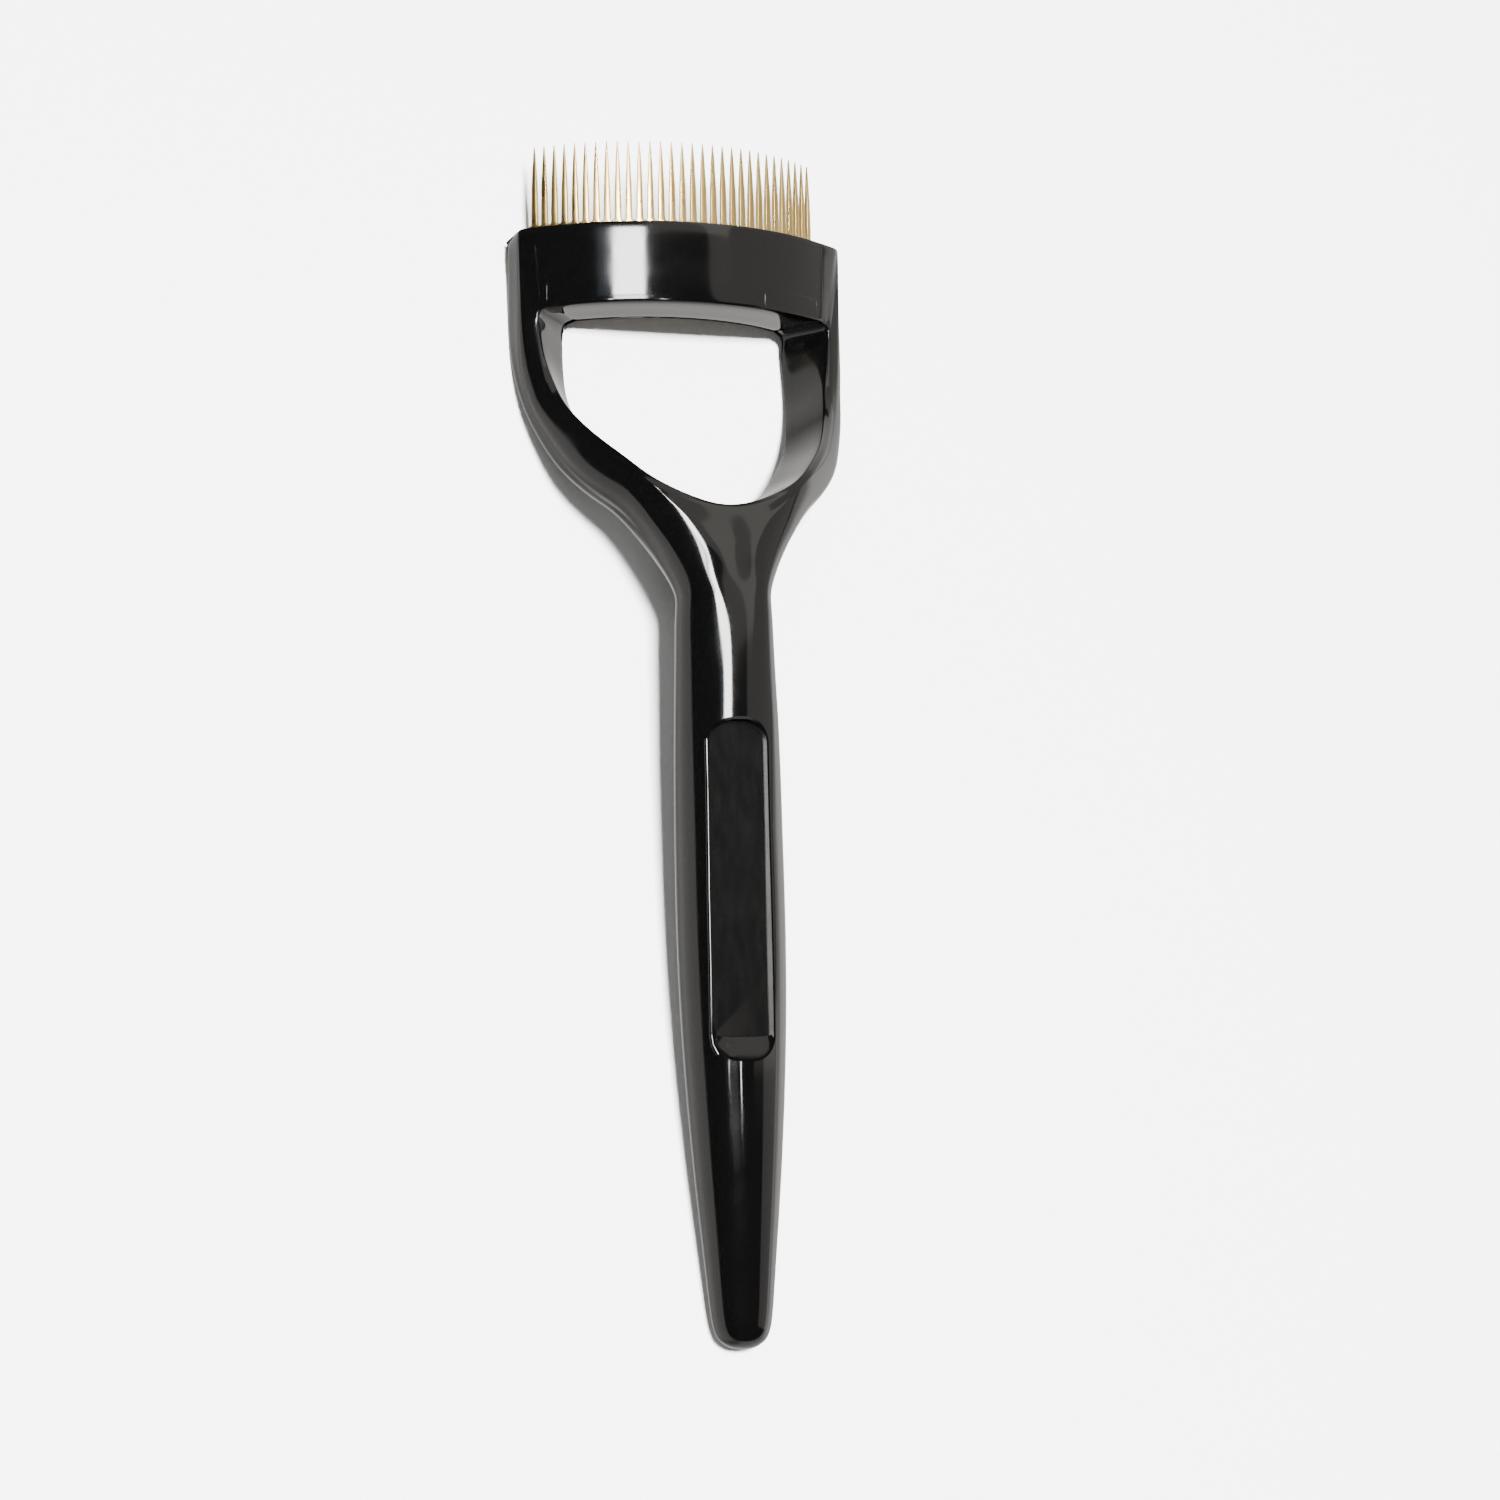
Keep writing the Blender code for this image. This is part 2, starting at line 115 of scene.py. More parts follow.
# %% Start a material
def start_material(name, color, roughness, metallic):
    """A new material with one shader, and that shader."""
    material = bpy.data.materials.new(name)
    material.use_nodes = True
    shader = material.node_tree.nodes["Principled BSDF"]
    shader.inputs["Base Color"].default_value = (*color, 1.0)
    shader.inputs["Roughness"].default_value = roughness
    shader.inputs["Metallic"].default_value = metallic
    return material, shader


# %% A noise to drive it with
def noise(material, scale, stretch=(1, 1, 1), detail=3.0):
    """A noise on Object coordinates, in lumps per metre, stretched along an axis where it is under 1."""
    nodes, links = material.node_tree.nodes, material.node_tree.links
    place = nodes.new("ShaderNodeTexCoord")
    shape = nodes.new("ShaderNodeMapping")
    shape.inputs["Scale"].default_value = stretch
    pattern = nodes.new("ShaderNodeTexNoise")
    pattern.inputs["Scale"].default_value = scale
    pattern.inputs["Detail"].default_value = detail
    links.new(place.outputs["Object"], shape.inputs["Vector"])
    links.new(shape.outputs["Vector"], pattern.inputs["Vector"])
    return pattern.outputs["Fac"]


# %% Send a pattern to a socket, or raise it as relief
NOISE_LOW, NOISE_HIGH = 0.3, 0.7        # nearly all of a noise lies between these


def spread(material, value, low, high, into):
    """Sends a pattern to a shader socket, as numbers from low to high."""
    ramp = material.node_tree.nodes.new("ShaderNodeMapRange")
    ramp.inputs["From Min"].default_value = NOISE_LOW
    ramp.inputs["From Max"].default_value = NOISE_HIGH
    ramp.inputs["To Min"].default_value = low
    ramp.inputs["To Max"].default_value = high
    material.node_tree.links.new(value, ramp.inputs["Value"])
    material.node_tree.links.new(ramp.outputs["Result"], into)


def relief(material, shader, *layers):
    """Stacks bumps on a shader. Each layer is a pattern and its height in metres."""
    normal = None
    for value, height in layers:
        bump = material.node_tree.nodes.new("ShaderNodeBump")
        bump.inputs["Distance"].default_value = height
        bump.inputs["Strength"].default_value = 1.0
        material.node_tree.links.new(value, bump.inputs["Height"])
        if normal is not None:
            material.node_tree.links.new(normal, bump.inputs["Normal"])
        normal = bump.outputs["Normal"]
    material.node_tree.links.new(normal, shader.inputs["Normal"])


# %% The gloss
BLACK = (0.001, 0.001, 0.00105)
SINK_HEIGHT = 0.000012          # metres, over lumps of about a centimetre
HAIRLINE_HEIGHT = 0.0000003

frame_black, shader = start_material("black_gloss", BLACK, 0.1, 0.0)
shader.inputs["IOR"].default_value = 1.52
spread(frame_black, noise(frame_black, 260), 0.07, 0.13, shader.inputs["Roughness"])
relief(
    frame_black, shader,
    (noise(frame_black, 90, detail=1.0), SINK_HEIGHT),
    (noise(frame_black, 2600, stretch=(1, 0.04, 1), detail=2.0), HAIRLINE_HEIGHT),
)
print("made", frame_black.name, "with", len(frame_black.node_tree.nodes), "nodes")

# %% [markdown]
# ## The satin of the thumb flat
#
# The floor of the thumb flat isn't polished. The mould was probably left with a fine grain
# there, so the plastic comes out satin and doesn't slip under the thumb. It is the same
# plastic, so it is the same black with a higher roughness and a fine grain.

# %% The satin
GRAIN_HEIGHT = 0.000004

thumb_satin, shader = start_material("black_satin", BLACK, 0.24, 0.0)
shader.inputs["IOR"].default_value = 1.5
spread(thumb_satin, noise(thumb_satin, 1500, stretch=(1, 0.2, 1)), 0.21, 0.27, shader.inputs["Roughness"])
relief(thumb_satin, shader, (noise(thumb_satin, 5200, detail=4.0), GRAIN_HEIGHT))
print("made", thumb_satin.name, "with", len(thumb_satin.node_tree.nodes), "nodes")

# %% [markdown]
# ## The handle frame, as a ring of sections
#
# The band, the two arms and the web below the opening are one closed ring, so the ring is made as
# a real pattern maker would loft it. Sixteen-sided sections are set round it and each is extruded
# from the one before. Every section names its four corners: front rim, front outer, back outer
# and back rim. Each corner is rounded by three points, which keeps the edges crisp when the
# cage is subdivided.

# %% One section
CORNER_BULGE = 0.56     # how far a corner's middle point moves in, which makes its curve round


def rounded_section(corners, radii):
    """Sixteen points round a four-cornered section: three on each rounded corner, one on each side."""
    points = []
    for i in range(4):
        corner, after, before = corners[i], corners[(i + 1) % 4], corners[i - 1]
        start = corner + (before - corner).normalized() * radii[i]
        end = corner + (after - corner).normalized() * radii[i]
        bulge = corner.lerp((start + end) / 2, CORNER_BULGE)
        next_start = after + (corner - after).normalized() * radii[(i + 1) % 4]
        points += [start, bulge, end, end.lerp(next_start, 0.5)]
    return points


trial = rounded_section([Vector((x, y, 0)) for x, y in ((0, 0), (4, 0), (4, 4), (0, 4))], (1,) * 4)
print("a trial section has", len(trial), "points")

# %% [markdown]
# ## The band
#
# Seen from above, the band is a piece of a thick tube, whose curve follows an eyelid. A section of
# it is therefore found by an angle round the tube's axis and a radius. Its underside is drawn a
# fraction lower at the back, which is the draft that lets the moulding leave its tool.

# %% Sections of the band
TUBE_AXIS_Z = -17.8
TUBE_FRONT = 21.6
TUBE_BACK = 16.3
BAND_HEIGHT = 7.55
BAND_DRAFT = 0.25
RIM_FILLET = 0.55
BACK_RIM_FILLET = 0.35
TOP_FILLET = 0.45


def on_tube(radius, angle, y):
    """A point on the band's tube, at an angle from its middle."""
    a = math.radians(angle)
    return Vector((radius * math.sin(a), y, TUBE_AXIS_Z + radius * math.cos(a)))


def band_section(angle):
    """The band cut through at an angle from its middle."""
    corners = [
        on_tube(TUBE_FRONT, angle, -BAND_HEIGHT), on_tube(TUBE_FRONT, angle, 0),
        on_tube(TUBE_BACK, angle, 0), on_tube(TUBE_BACK, angle, -BAND_HEIGHT - BAND_DRAFT),
    ]
    return rounded_section(corners, (RIM_FILLET, TOP_FILLET, TOP_FILLET, BACK_RIM_FILLET))


sections = [band_section(angle) for angle in (0, 9, 18, 27, 35)]
print("sections from the middle of the band outwards:", len(sections))

# %% [markdown]
# ## The head's corners
#
# At each end the band turns down into an arm. The corner of the opening and the outer corner of
# the head are both small arcs about places inside the solid, so three sections turn the corner,
# at the start, the middle and the end of those arcs.

# %% Sections round a corner
HALF_WIDTH = 15.5
ARM_FRONT_Z = -2.6      # front and back edge of the head's side, at its top corner
ARM_BACK_Z = -7.3
WALL_ANGLE = 40.7       # from the middle of the band to the side walls of the opening
OUTER_CORNER = 0.75
OPENING_CORNER = 0.9


def corner_section(turn):
    """The head's corner cut through, where the band has turned this far into the arm."""
    a = math.radians(turn)
    rim = []
    for radius, draft in ((TUBE_FRONT, 0), (TUBE_BACK, BAND_DRAFT)):
        x = on_tube(radius, WALL_ANGLE, 0).x - OPENING_CORNER * (1 - math.sin(a))
        y = -BAND_HEIGHT - OPENING_CORNER * (1 - math.cos(a)) - draft
        rim.append(Vector((x, y, TUBE_AXIS_Z + math.sqrt(radius**2 - x**2))))
    x = HALF_WIDTH - OUTER_CORNER * (1 - math.sqrt(math.sin(a)))
    y = -OUTER_CORNER * (1 - math.sqrt(abs(math.cos(a))))
    outer_front = Vector((x, y, ARM_FRONT_Z + HALF_WIDTH - x))
    outer_back = Vector((x, y, ARM_BACK_Z))
    return rounded_section(
        [rim[0], outer_front, outer_back, rim[1]],
        (RIM_FILLET, TOP_FILLET, TOP_FILLET, BACK_RIM_FILLET),
    )


sections += [corner_section(turn) for turn in (0, 45, 90)]
print("sections with the corner:", len(sections))

# %% [markdown]
# ## The arms
#
# An arm leans forward as it goes down, and turns inwards to the web, so its inner rim and its
# outer side follow different curves. Both are given as a few rows that a designer could read off
# a drawing, and a smooth curve through the rows gives any place between them.

# %% Read a smooth curve through rows of sizes
def at_height(rows, y):
    """The sizes at height y, on a smooth curve through rows that start with their own height."""
    heights = [row[0] for row in rows]
    y = min(max(y, heights[-1]), heights[0])
    i = max(k for k in range(len(rows) - 1) if y <= heights[k])
    before, low = rows[max(i - 1, 0)], rows[i]
    high, after = rows[i + 1], rows[min(i + 2, len(rows) - 1)]
    span = high[0] - low[0]
    t = (y - low[0]) / span
    values = []
    for a, b, c, d in zip(before[1:], low[1:], high[1:], after[1:]):
        slope_b = (c - a) / (high[0] - before[0]) * span
        slope_c = (d - b) / (after[0] - low[0]) * span
        values.append(
            (2 * t**3 - 3 * t**2 + 1) * b + (t**3 - 2 * t**2 + t) * slope_b
            + (3 * t**2 - 2 * t**3) * c + (t**3 - t**2) * slope_c
        )
    return values


print("halfway between rows of 0 and 2 the curve reads", at_height(((1, 0), (0, 2)), 0.5))

# %% Sizes of an arm
# Outer side: y, x of the side, z of its front edge, z of its back edge, radius of both edges.
ARM_SIDE = (
    (-1.0, 15.5, -2.60, -7.30, 0.55),
    (-8.0, 15.5, -2.40, -7.30, 0.6),
    (-12.0, 15.45, -1.95, -6.50, 0.8),
    (-16.0, 15.0, -0.60, -4.60, 1.0),
    (-20.0, 13.8, 2.50, -2.70, 1.3),
    (-24.0, 11.75, 6.10, -0.30, 1.9),
    (-28.0, 7.9, 9.70, 2.10, 2.6),
    (-30.5, 6.3, 11.2, 3.30, 3.0),
)
# Edge of the opening: y, x and z of the front rim, x and z of the back rim.
ARM_RIM = (
    (-8.6, 14.0, -1.55, 10.65, -5.85),
    (-12.0, 13.65, -0.85, 10.6, -5.40),
    (-14.0, 13.2, -0.05, 10.6, -4.95),
    (-16.0, 12.7, 1.15, 10.4, -4.15),
    (-18.0, 11.95, 2.95, 9.9, -2.70),
    (-20.0, 10.85, 5.30, 9.05, -0.80),
    (-22.0, 9.45, 7.70, 7.85, 1.15),
    (-24.0, 7.55, 9.70, 6.20, 2.95),
    (-26.0, 4.85, 11.00, 4.10, 4.50),
    (-27.35, 0.0, 11.45, 0.0, 5.60),
)
ARM_RIM_FILLET = 0.7
# Where the sections lie: y on the rim, and y on the outer side.
ARM_PLACES = (
    (-9.6, -3.5), (-10.8, -7.5), (-12.5, -11.0), (-14.5, -14.5), (-16.7, -17.6), (-18.9, -20.6),
    (-21.1, -23.4), (-23.2, -26.0), (-25.1, -28.6),
)
print("the arm's side turns in by", ARM_SIDE[0][1] - ARM_SIDE[-1][1], "mm on its way down")


# %% Sections of an arm
def arm_section(rim_y, side_y):
    """The arm cut through, from a height on the rim of the opening to one on its outer side."""
    rim_x, rim_z, back_x, back_z = at_height(ARM_RIM, rim_y)
    side_x, front_z, behind_z, radius = at_height(ARM_SIDE, side_y)
    corners = [
        Vector((rim_x, rim_y, rim_z)), Vector((side_x, side_y, front_z)),
        Vector((side_x, side_y, behind_z)), Vector((back_x, rim_y, back_z)),
    ]
    return rounded_section(corners, (ARM_RIM_FILLET, radius, radius, BACK_RIM_FILLET))


sections += [arm_section(rim_y, side_y) for rim_y, side_y in ARM_PLACES]
print("sections with the arm:", len(sections))

# %% [markdown]
# ## The web
#
# Below the opening both arms run together into a web, and the handle grows out of its lower side.
# Only the web's rim is rounded here. Its lower side is left open later, so its points lie in rows
# that lead straight on into the handle.

# %% Sections of the web, and the whole ring
WEB_HALF_WIDTH = 5.9
WEB_Y = -27.35
WEB_Y_AT_SHOULDER = -25.1
# x on the rim, then x, y, front z and back z of the line that the handle is drawn from.
WEB_PLACES = ((2.95, 2.5, -31.3, 12.3, 4.3), (0.0, 0.0, -31.7, 12.15, 4.15))


def web_section(rim_x, far_x, far_y, front_z, back_z):
    """The web cut through, from its rim to the line that the handle is drawn from."""
    rim_y = WEB_Y + (WEB_Y_AT_SHOULDER - WEB_Y) * (rim_x / WEB_HALF_WIDTH) ** 2
    _, rim_z, _, rim_back_z = at_height(ARM_RIM, rim_y)
    front, back = Vector((far_x, far_y, front_z)), Vector((far_x, far_y, back_z))
    corners = [Vector((rim_x, rim_y, rim_z)), front, back, Vector((rim_x * 0.9, rim_y, rim_back_z))]
    points = rounded_section(corners, (RIM_FILLET,) * 4)
    for step in (1, 2, 3):
        points[2 + step] = points[2].lerp(front, step / 3)
        points[12 - step] = points[12].lerp(back, step / 3)
    return points


sections += [web_section(*place) for place in WEB_PLACES]
sections += [[Vector((-p.x, p.y, p.z)) for p in section] for section in sections[-2:0:-1]]
print("sections all the way round:", len(sections))

# %% [markdown]
# ## Extruding the ring
#
# A circle of sixteen vertices becomes the first section, and extruding its edge loop makes each of
# the others. A number stored on every vertex says which point of its section it is, and because
# extruding copies that number, each new vertex knows where to go. After the last section the ring
# has come back to its start, and the two loops there are merged.

# %% A helper that extrudes a loop
POINTS_ROUND = 16

cage = bmesh.new()
order = cage.verts.layers.int.new("order")          # which point of its section a vertex is
station = cage.verts.layers.int.new("station")      # which section it belongs to


def extrude_loop(bm, edges, points):
    """Extrudes a closed loop of edges, and puts each new vertex at the point that its number names."""
    made = bmesh.ops.extrude_edge_only(bm, edges=edges)["geom"]
    for vert in (item for item in made if isinstance(item, bmesh.types.BMVert)):
        vert.co = points[vert[order]]
    return [item for item in made if isinstance(item, bmesh.types.BMEdge) and len(item.link_faces) == 1]


# %% Extrude all the way round
bmesh.ops.create_circle(cage, segments=POINTS_ROUND, radius=1.0)
for number, vert in enumerate(cage.verts):
    vert[order] = number
    vert.co = sections[0][number]
loop = list(cage.edges)
for number, section in enumerate(sections[1:] + sections[:1], start=1):
    loop = extrude_loop(cage, loop, section)
    for vert in {v for edge in loop for v in edge.verts}:
        vert[station] = number % len(sections)
bmesh.ops.remove_doubles(cage, verts=cage.verts, dist=1e-5)
print("ring:", len(cage.faces), "faces")

# %% [markdown]
# ## Opening the web
#
# The faces on the web's lower side come away, which leaves a hole with sixteen edges. That is as
# many as a section of the handle has, so the hole's edge can be extruded straight down into the
# handle, and the two meet without one odd vertex. The vertices round the hole are numbered
# again first, in the order of the handle's sections.

# %% Open the web's lower side
lowest = len(sections) // 2             # the section in the middle of the web
FIRST_ROW, LAST_ROW = 5, 9              # points on a section's lower side, from front to back

web = range(lowest - 2, lowest + 3)
gone = [
    face for face in cage.faces
    if all(v[station] in web and FIRST_ROW <= v[order] <= LAST_ROW for v in face.verts)
]
bmesh.ops.delete(cage, geom=gone, context="FACES")
loop = [edge for edge in cage.edges if len(edge.link_faces) == 1]
for vert in {v for edge in loop for v in edge.verts}:
    across = lowest + 2 - vert[station]     # 0 at the left of the web, 4 at its right
    row = vert[order] - FIRST_ROW           # 0 at the front, 4 at the back
    if row in (0, 4):
        vert[order] = across if row == 0 else 12 - across
    else:
        vert[order] = 4 + row if across == 4 else POINTS_ROUND - row
print("faces taken away:", len(gone), "edges round the hole:", len(loop))

# %% [markdown]
# ## Drawing the handle down
#
# The handle is a slim oval that swells at the thumb and tapers to its end. The first sections keep
# a shallow valley in front, the hollow that runs from the web into the handle. The end is closed
# by one face, which subdivision turns into a smooth dome.

# %% Draw the handle
# y, z of the middle, half width, half depth, depth of the valley in front.
HANDLE = (
    (-34.0, 8.75, 4.60, 4.55, 0.75),
    (-36.5, 9.05, 4.25, 4.35, 0.42),
    (-41.0, 9.20, 4.38, 4.40, 0.12),
    (-48.0, 9.50, 4.62, 4.55, 0.0),
    (-56.0, 9.70, 4.76, 4.66, 0.0),
    (-66.0, 10.02, 4.78, 4.70, 0.0),
    (-76.0, 10.42, 4.46, 4.42, 0.0),
    (-86.0, 10.82, 3.79, 3.79, 0.0),
    (-94.0, 11.13, 3.06, 3.06, 0.0),
    (-98.6, 11.32, 2.58, 2.58, 0.0),
    (-100.2, 11.38, 1.90, 1.90, 0.0),
    (-100.9, 11.41, 0.90, 0.90, 0.0),
)


def open_edges(bm):
    """How many edges don't join two faces."""
    return len([edge for edge in bm.edges if len(edge.link_faces) != 2])


def handle_section(y, middle_z, half_width, half_depth, valley):
    """The handle cut through: an oval, hollowed a little in front."""
    points = []
    for k in range(POINTS_ROUND):
        a = math.tau * (k - 2) / POINTS_ROUND
        hollow = valley * max(math.cos(a), 0.0) ** 6
        points.append(Vector((half_width * math.sin(a), y, middle_z + half_depth * math.cos(a) - hollow)))
    return points


for row in HANDLE:
    loop = extrude_loop(cage, loop, handle_section(*row))
bmesh.ops.edgeloop_fill(cage, edges=loop)
bmesh.ops.recalc_face_normals(cage, faces=cage.faces)
print("cage:", len(cage.faces), "faces,", open_edges(cage), "open edges")

# %% [markdown]
# ## Keeping the size while smoothing
#
# Subdivision pulls a surface in from its cage, so a cage drawn on the real surface would give a
# handle that is too thin. The place where a vertex ends up after endless subdivision is known from
# its neighbours. The difference from where it was meant to be is added to the vertex, and after
# a few rounds the smooth surface passes through the drawn points.

# %% Fit the cage
FIT_ROUNDS = 4


def limit_place(vert):
    """Where endless subdivision would bring a vertex with four-sided faces round it."""
    n = len(vert.link_edges)
    near = sum((edge.other_vert(vert).co for edge in vert.link_edges), Vector())
    across = Vector()
    for face in vert.link_faces:
        corner = list(face.verts).index(vert)
        across += face.verts[(corner + 2) % 4].co
    return (n * n * vert.co + 4 * near + across) / (n * (n + 5))


inner = [v for v in cage.verts if all(len(face.verts) == 4 for face in v.link_faces)]
drawn = [v.co.copy() for v in inner]
for _ in range(FIT_ROUNDS):
    moves = [goal - limit_place(v) for v, goal in zip(inner, drawn)]
    for vert, move in zip(inner, moves):
        vert.co += move
worst = max((goal - limit_place(v)).length for v, goal in zip(inner, drawn))
print("largest miss after fitting:", round(worst, 3), "mm")


# %% [markdown]
# ## From a drawing to an object and back
#
# A modifier works on an object, and the drawing is a bmesh. Two helpers go between them. One makes
# a short-lived object of a drawing, still in millimetres, and the other reads back the mesh that
# the object's modifiers give. With the smooth surface at hand, the next steps can measure it and
# press it into its final shape.

# %% Two helpers
def draft_object(bm, name):
    """A helper object in millimetres, which is removed once its shape has been used."""
    mesh = bpy.data.meshes.new(name)
    bm.to_mesh(mesh)
    bm.free()
    obj = bpy.data.objects.new(name, mesh)
    bpy.context.scene.collection.objects.link(obj)
    return obj


def bake(obj):
    """The mesh that an object's modifiers make, as a bmesh."""
    bpy.context.view_layer.update()
    evaluated = obj.evaluated_get(bpy.context.evaluated_depsgraph_get())
    bm = bmesh.new()
    bm.from_mesh(evaluated.to_mesh())
    evaluated.to_mesh_clear()
    return bm


# %% [markdown]
# ## The smooth frame
#
# Three rounds of subdivision are fine enough for a mirror finish, and the frame still stays well
# under two hundred thousand triangles. Once it has been read back, the modifier has done its work.

# %% Subdivide the cage
SMOOTH_LEVELS = 3

frame_draft = draft_object(cage, "frame_draft")
smoothing = frame_draft.modifiers.new("smoothing", "SUBSURF")
smoothing.levels = smoothing.render_levels = SMOOTH_LEVELS
smooth_frame = bake(frame_draft)
frame_draft.modifiers.clear()
print("smooth frame:", len(smooth_frame.faces), "faces")

# %% [markdown]
# ## Leaning the crest
#
# Below the web the handle bends, and a long highlight runs down the crest of the bend. Where it
# runs says that the crest leans to the right, by less than a millimetre. Changed sections
# would disturb the cage for that, so the smooth surface is sheared instead. A table by height
# says how far it leans, and the lean fades out from the crest down to the sides.

# %% Lean it
LEAN_FROM_Z = 9.5       # nothing leans below this, and all of the lean is there at CREST_Z
CREST_Z = 13.0
# y, and how far the crest leans to the right there.
CREST_LEAN = (
    (-29, 0.0), (-33, 0.45), (-36.5, 0.85), (-41, 0.65), (-45, 0.45), (-50, 0.2), (-56, 0.0),
)

for vert in smooth_frame.verts:
    near_crest = min(1.0, max(0.0, (vert.co.z - LEAN_FROM_Z) / (CREST_Z - LEAN_FROM_Z)))
    vert.co.x += at_height(CREST_LEAN, vert.co.y)[0] * near_crest**2
print("largest lean:", max(lean for _, lean in CREST_LEAN), "mm")

# %% [markdown]
# ## Sanding three places
#
# Where the cage's loops crowd together the smooth surface keeps faint waves, and a black mirror
# shows every one of them. A mould maker would stone such a place down and polish it again, and
# smooth_vert does much the same: it moves each vertex towards the middle of its neighbours. It is
# kept to the head's shoulders and to the waist under the web, because anywhere else it would
# wear the crisp edges away.

# %% Sand the shoulders and the waist
SHOULDER_ROUNDS = 40
WAIST_ROUNDS = 12


def sand(verts, rounds):
    """Works like a sanding block on some of the frame's vertices."""
    for _ in range(rounds):
        bmesh.ops.smooth_vert(
            smooth_frame, verts=verts, factor=0.5, use_axis_x=True, use_axis_y=True, use_axis_z=True,
        )


smooth_frame.normal_update()
fronts = [v for v in smooth_frame.verts if v.normal.z > 0.15]
shoulders = [v for v in fronts if 13.6 < abs(v.co.x) < 15.35 and -16 < v.co.y < -0.9]
sand(shoulders, SHOULDER_ROUNDS)
waist_front = [v for v in fronts if abs(v.co.x) < 6.0 and -45 < v.co.y < -27.5 and v.co.z > 9]
sand(waist_front, WAIST_ROUNDS)
waist_behind = [v for v in smooth_frame.verts if -42 < v.co.y < -32 and v.normal.z < 0.1]
sand(waist_behind, WAIST_ROUNDS)
print("vertices sanded:", len(shoulders), len(waist_front), len(waist_behind))

# %% [markdown]
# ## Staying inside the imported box
#
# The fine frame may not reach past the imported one. It is measured as it lies at rest, and on each
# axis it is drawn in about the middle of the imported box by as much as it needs.

# %% Draw the frame in
INSIDE = 0.9995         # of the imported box

low, high = Vector(cad_box[0]), Vector(cad_box[1])
box_middle = (low + high) / 2
at_rest = [lay_down @ vert.co for vert in smooth_frame.verts]
shrink = Matrix.Identity(4)
for i in range(3):
    reach = max(abs(place[i] - box_middle[i]) for place in at_rest)
    shrink[i][i] = min(1.0, INSIDE * (high[i] - box_middle[i]) / reach)
print("drawn in to the packed box by", [round(1 - shrink[i][i], 5) for i in range(3)])

shrink = Matrix.Translation(box_middle) @ shrink @ Matrix.Translation(-box_middle)
bmesh.ops.transform(smooth_frame, matrix=lay_down.inverted() @ shrink @ lay_down, verts=smooth_frame.verts)

# %% [markdown]
# ## Finding the surface
#
# The thumb flat and the mould lines follow the front of the frame, so they need its height at any
# place. A tree of its faces answers that with a ray shot straight back.

# %% Keep a way to find the surface
ABOVE_EVERYTHING = 40.0

frame_surface = BVHTree.FromBMesh(smooth_frame)
smooth_frame.to_mesh(frame_draft.data)
smooth_frame.free()


def front_at(x, y):
    """The point of the frame's front surface at x and y, and its normal."""
    point, normal, _, _ = frame_surface.ray_cast(Vector((x, y, ABOVE_EVERYTHING)), Vector((0, 0, -1)))
    return point, normal


print("front of the handle at its thickest:", round(front_at(0, -41.0)[0].z, 2), "mm")

# %% [markdown]
# ## The flat for the thumb
#
# A long round-cornered flat is sunk in the handle's front. In the mould it is a raised island, and
# here it is the shape of that island, cut away with a Boolean. The island starts as its outline,
# a circle whose four quarters are pushed apart. Its two long sides are divided many times, so that
# the walls which rise from them can follow the curve of the handle.

# %% The outline of the island
FLAT_TOP_Y = -46.7
FLAT_END_Y = -76.1
FLAT_MIDDLE_Y = (FLAT_TOP_Y + FLAT_END_Y) / 2
FLAT_HALF_WIDTH = 2.5
FLAT_CORNER = 2.1
SIDE_CUTS = 60

half_length = (FLAT_TOP_Y - FLAT_END_Y) / 2 - FLAT_CORNER
island = bmesh.new()
bmesh.ops.create_circle(island, cap_ends=True, segments=72, radius=FLAT_CORNER)
for vert in island.verts:
    vert.co.x += math.copysign(FLAT_HALF_WIDTH - FLAT_CORNER, vert.co.x)
    vert.co.y += math.copysign(half_length, vert.co.y) + FLAT_MIDDLE_Y
long_sides = [edge for edge in island.edges if edge.calc_length() > half_length]
bmesh.ops.bisect_edges(island, edges=long_sides, cuts=SIDE_CUTS)
print("points round the flat:", len(island.verts))

# %% [markdown]
# ## Its walls
#
# The walls rise from the outline to just under the handle's surface and then flare outwards. The
# flare leaves the small chamfer that catches the light all round the edge. On the left the flare
# starts almost at the floor, so the whole wall is one slope there.

# %% Where each ring of the walls lies
FLOOR_Z_TOP = 12.75
FLOOR_Z_END = 13.32
CHAMFER = 0.2
LEAST_WALL = 0.03       # what is left of the upright wall on the left
FLARE = 0.85
ISLAND_TOP_Z = 18.0

floor_slope = (FLOOR_Z_END - FLOOR_Z_TOP) / (FLAT_END_Y - FLAT_TOP_Y)


def floor_z(y):
    return FLOOR_Z_TOP + floor_slope * (y - FLAT_TOP_Y)


def away(point):
    """Square to the outline, at one of its points."""
    end_y = FLAT_TOP_Y if point.y > FLAT_MIDDLE_Y else FLAT_END_Y
    centre_y = end_y - math.copysign(FLAT_CORNER, end_y - FLAT_MIDDLE_Y)
    centre_x = math.copysign(FLAT_HALF_WIDTH - FLAT_CORNER, point.x)
    out = Vector((point.x - centre_x, point.y - centre_y, 0))
    if abs(point.y - FLAT_MIDDLE_Y) < half_length:
        out.y = 0
    return out.normalized()


def wall_top(p):
    surface = front_at(p.x, p.y)[0].z
    whole_wall = surface - floor_z(p.y) - LEAST_WALL
    to_left = max(0.0, -away(p).x) ** 2
    return Vector((p.x, p.y, surface - CHAMFER - to_left * max(0.0, whole_wall - CHAMFER)))


def flare_top(p):
    return p + away(p) * FLARE + Vector((0, 0, FLARE))


def over_the_handle(p):
    return Vector((p.x, p.y, ISLAND_TOP_Z))


print("depth of the flat at its top:", round(front_at(0, FLAT_TOP_Y)[0].z - FLOOR_Z_TOP, 2), "mm")

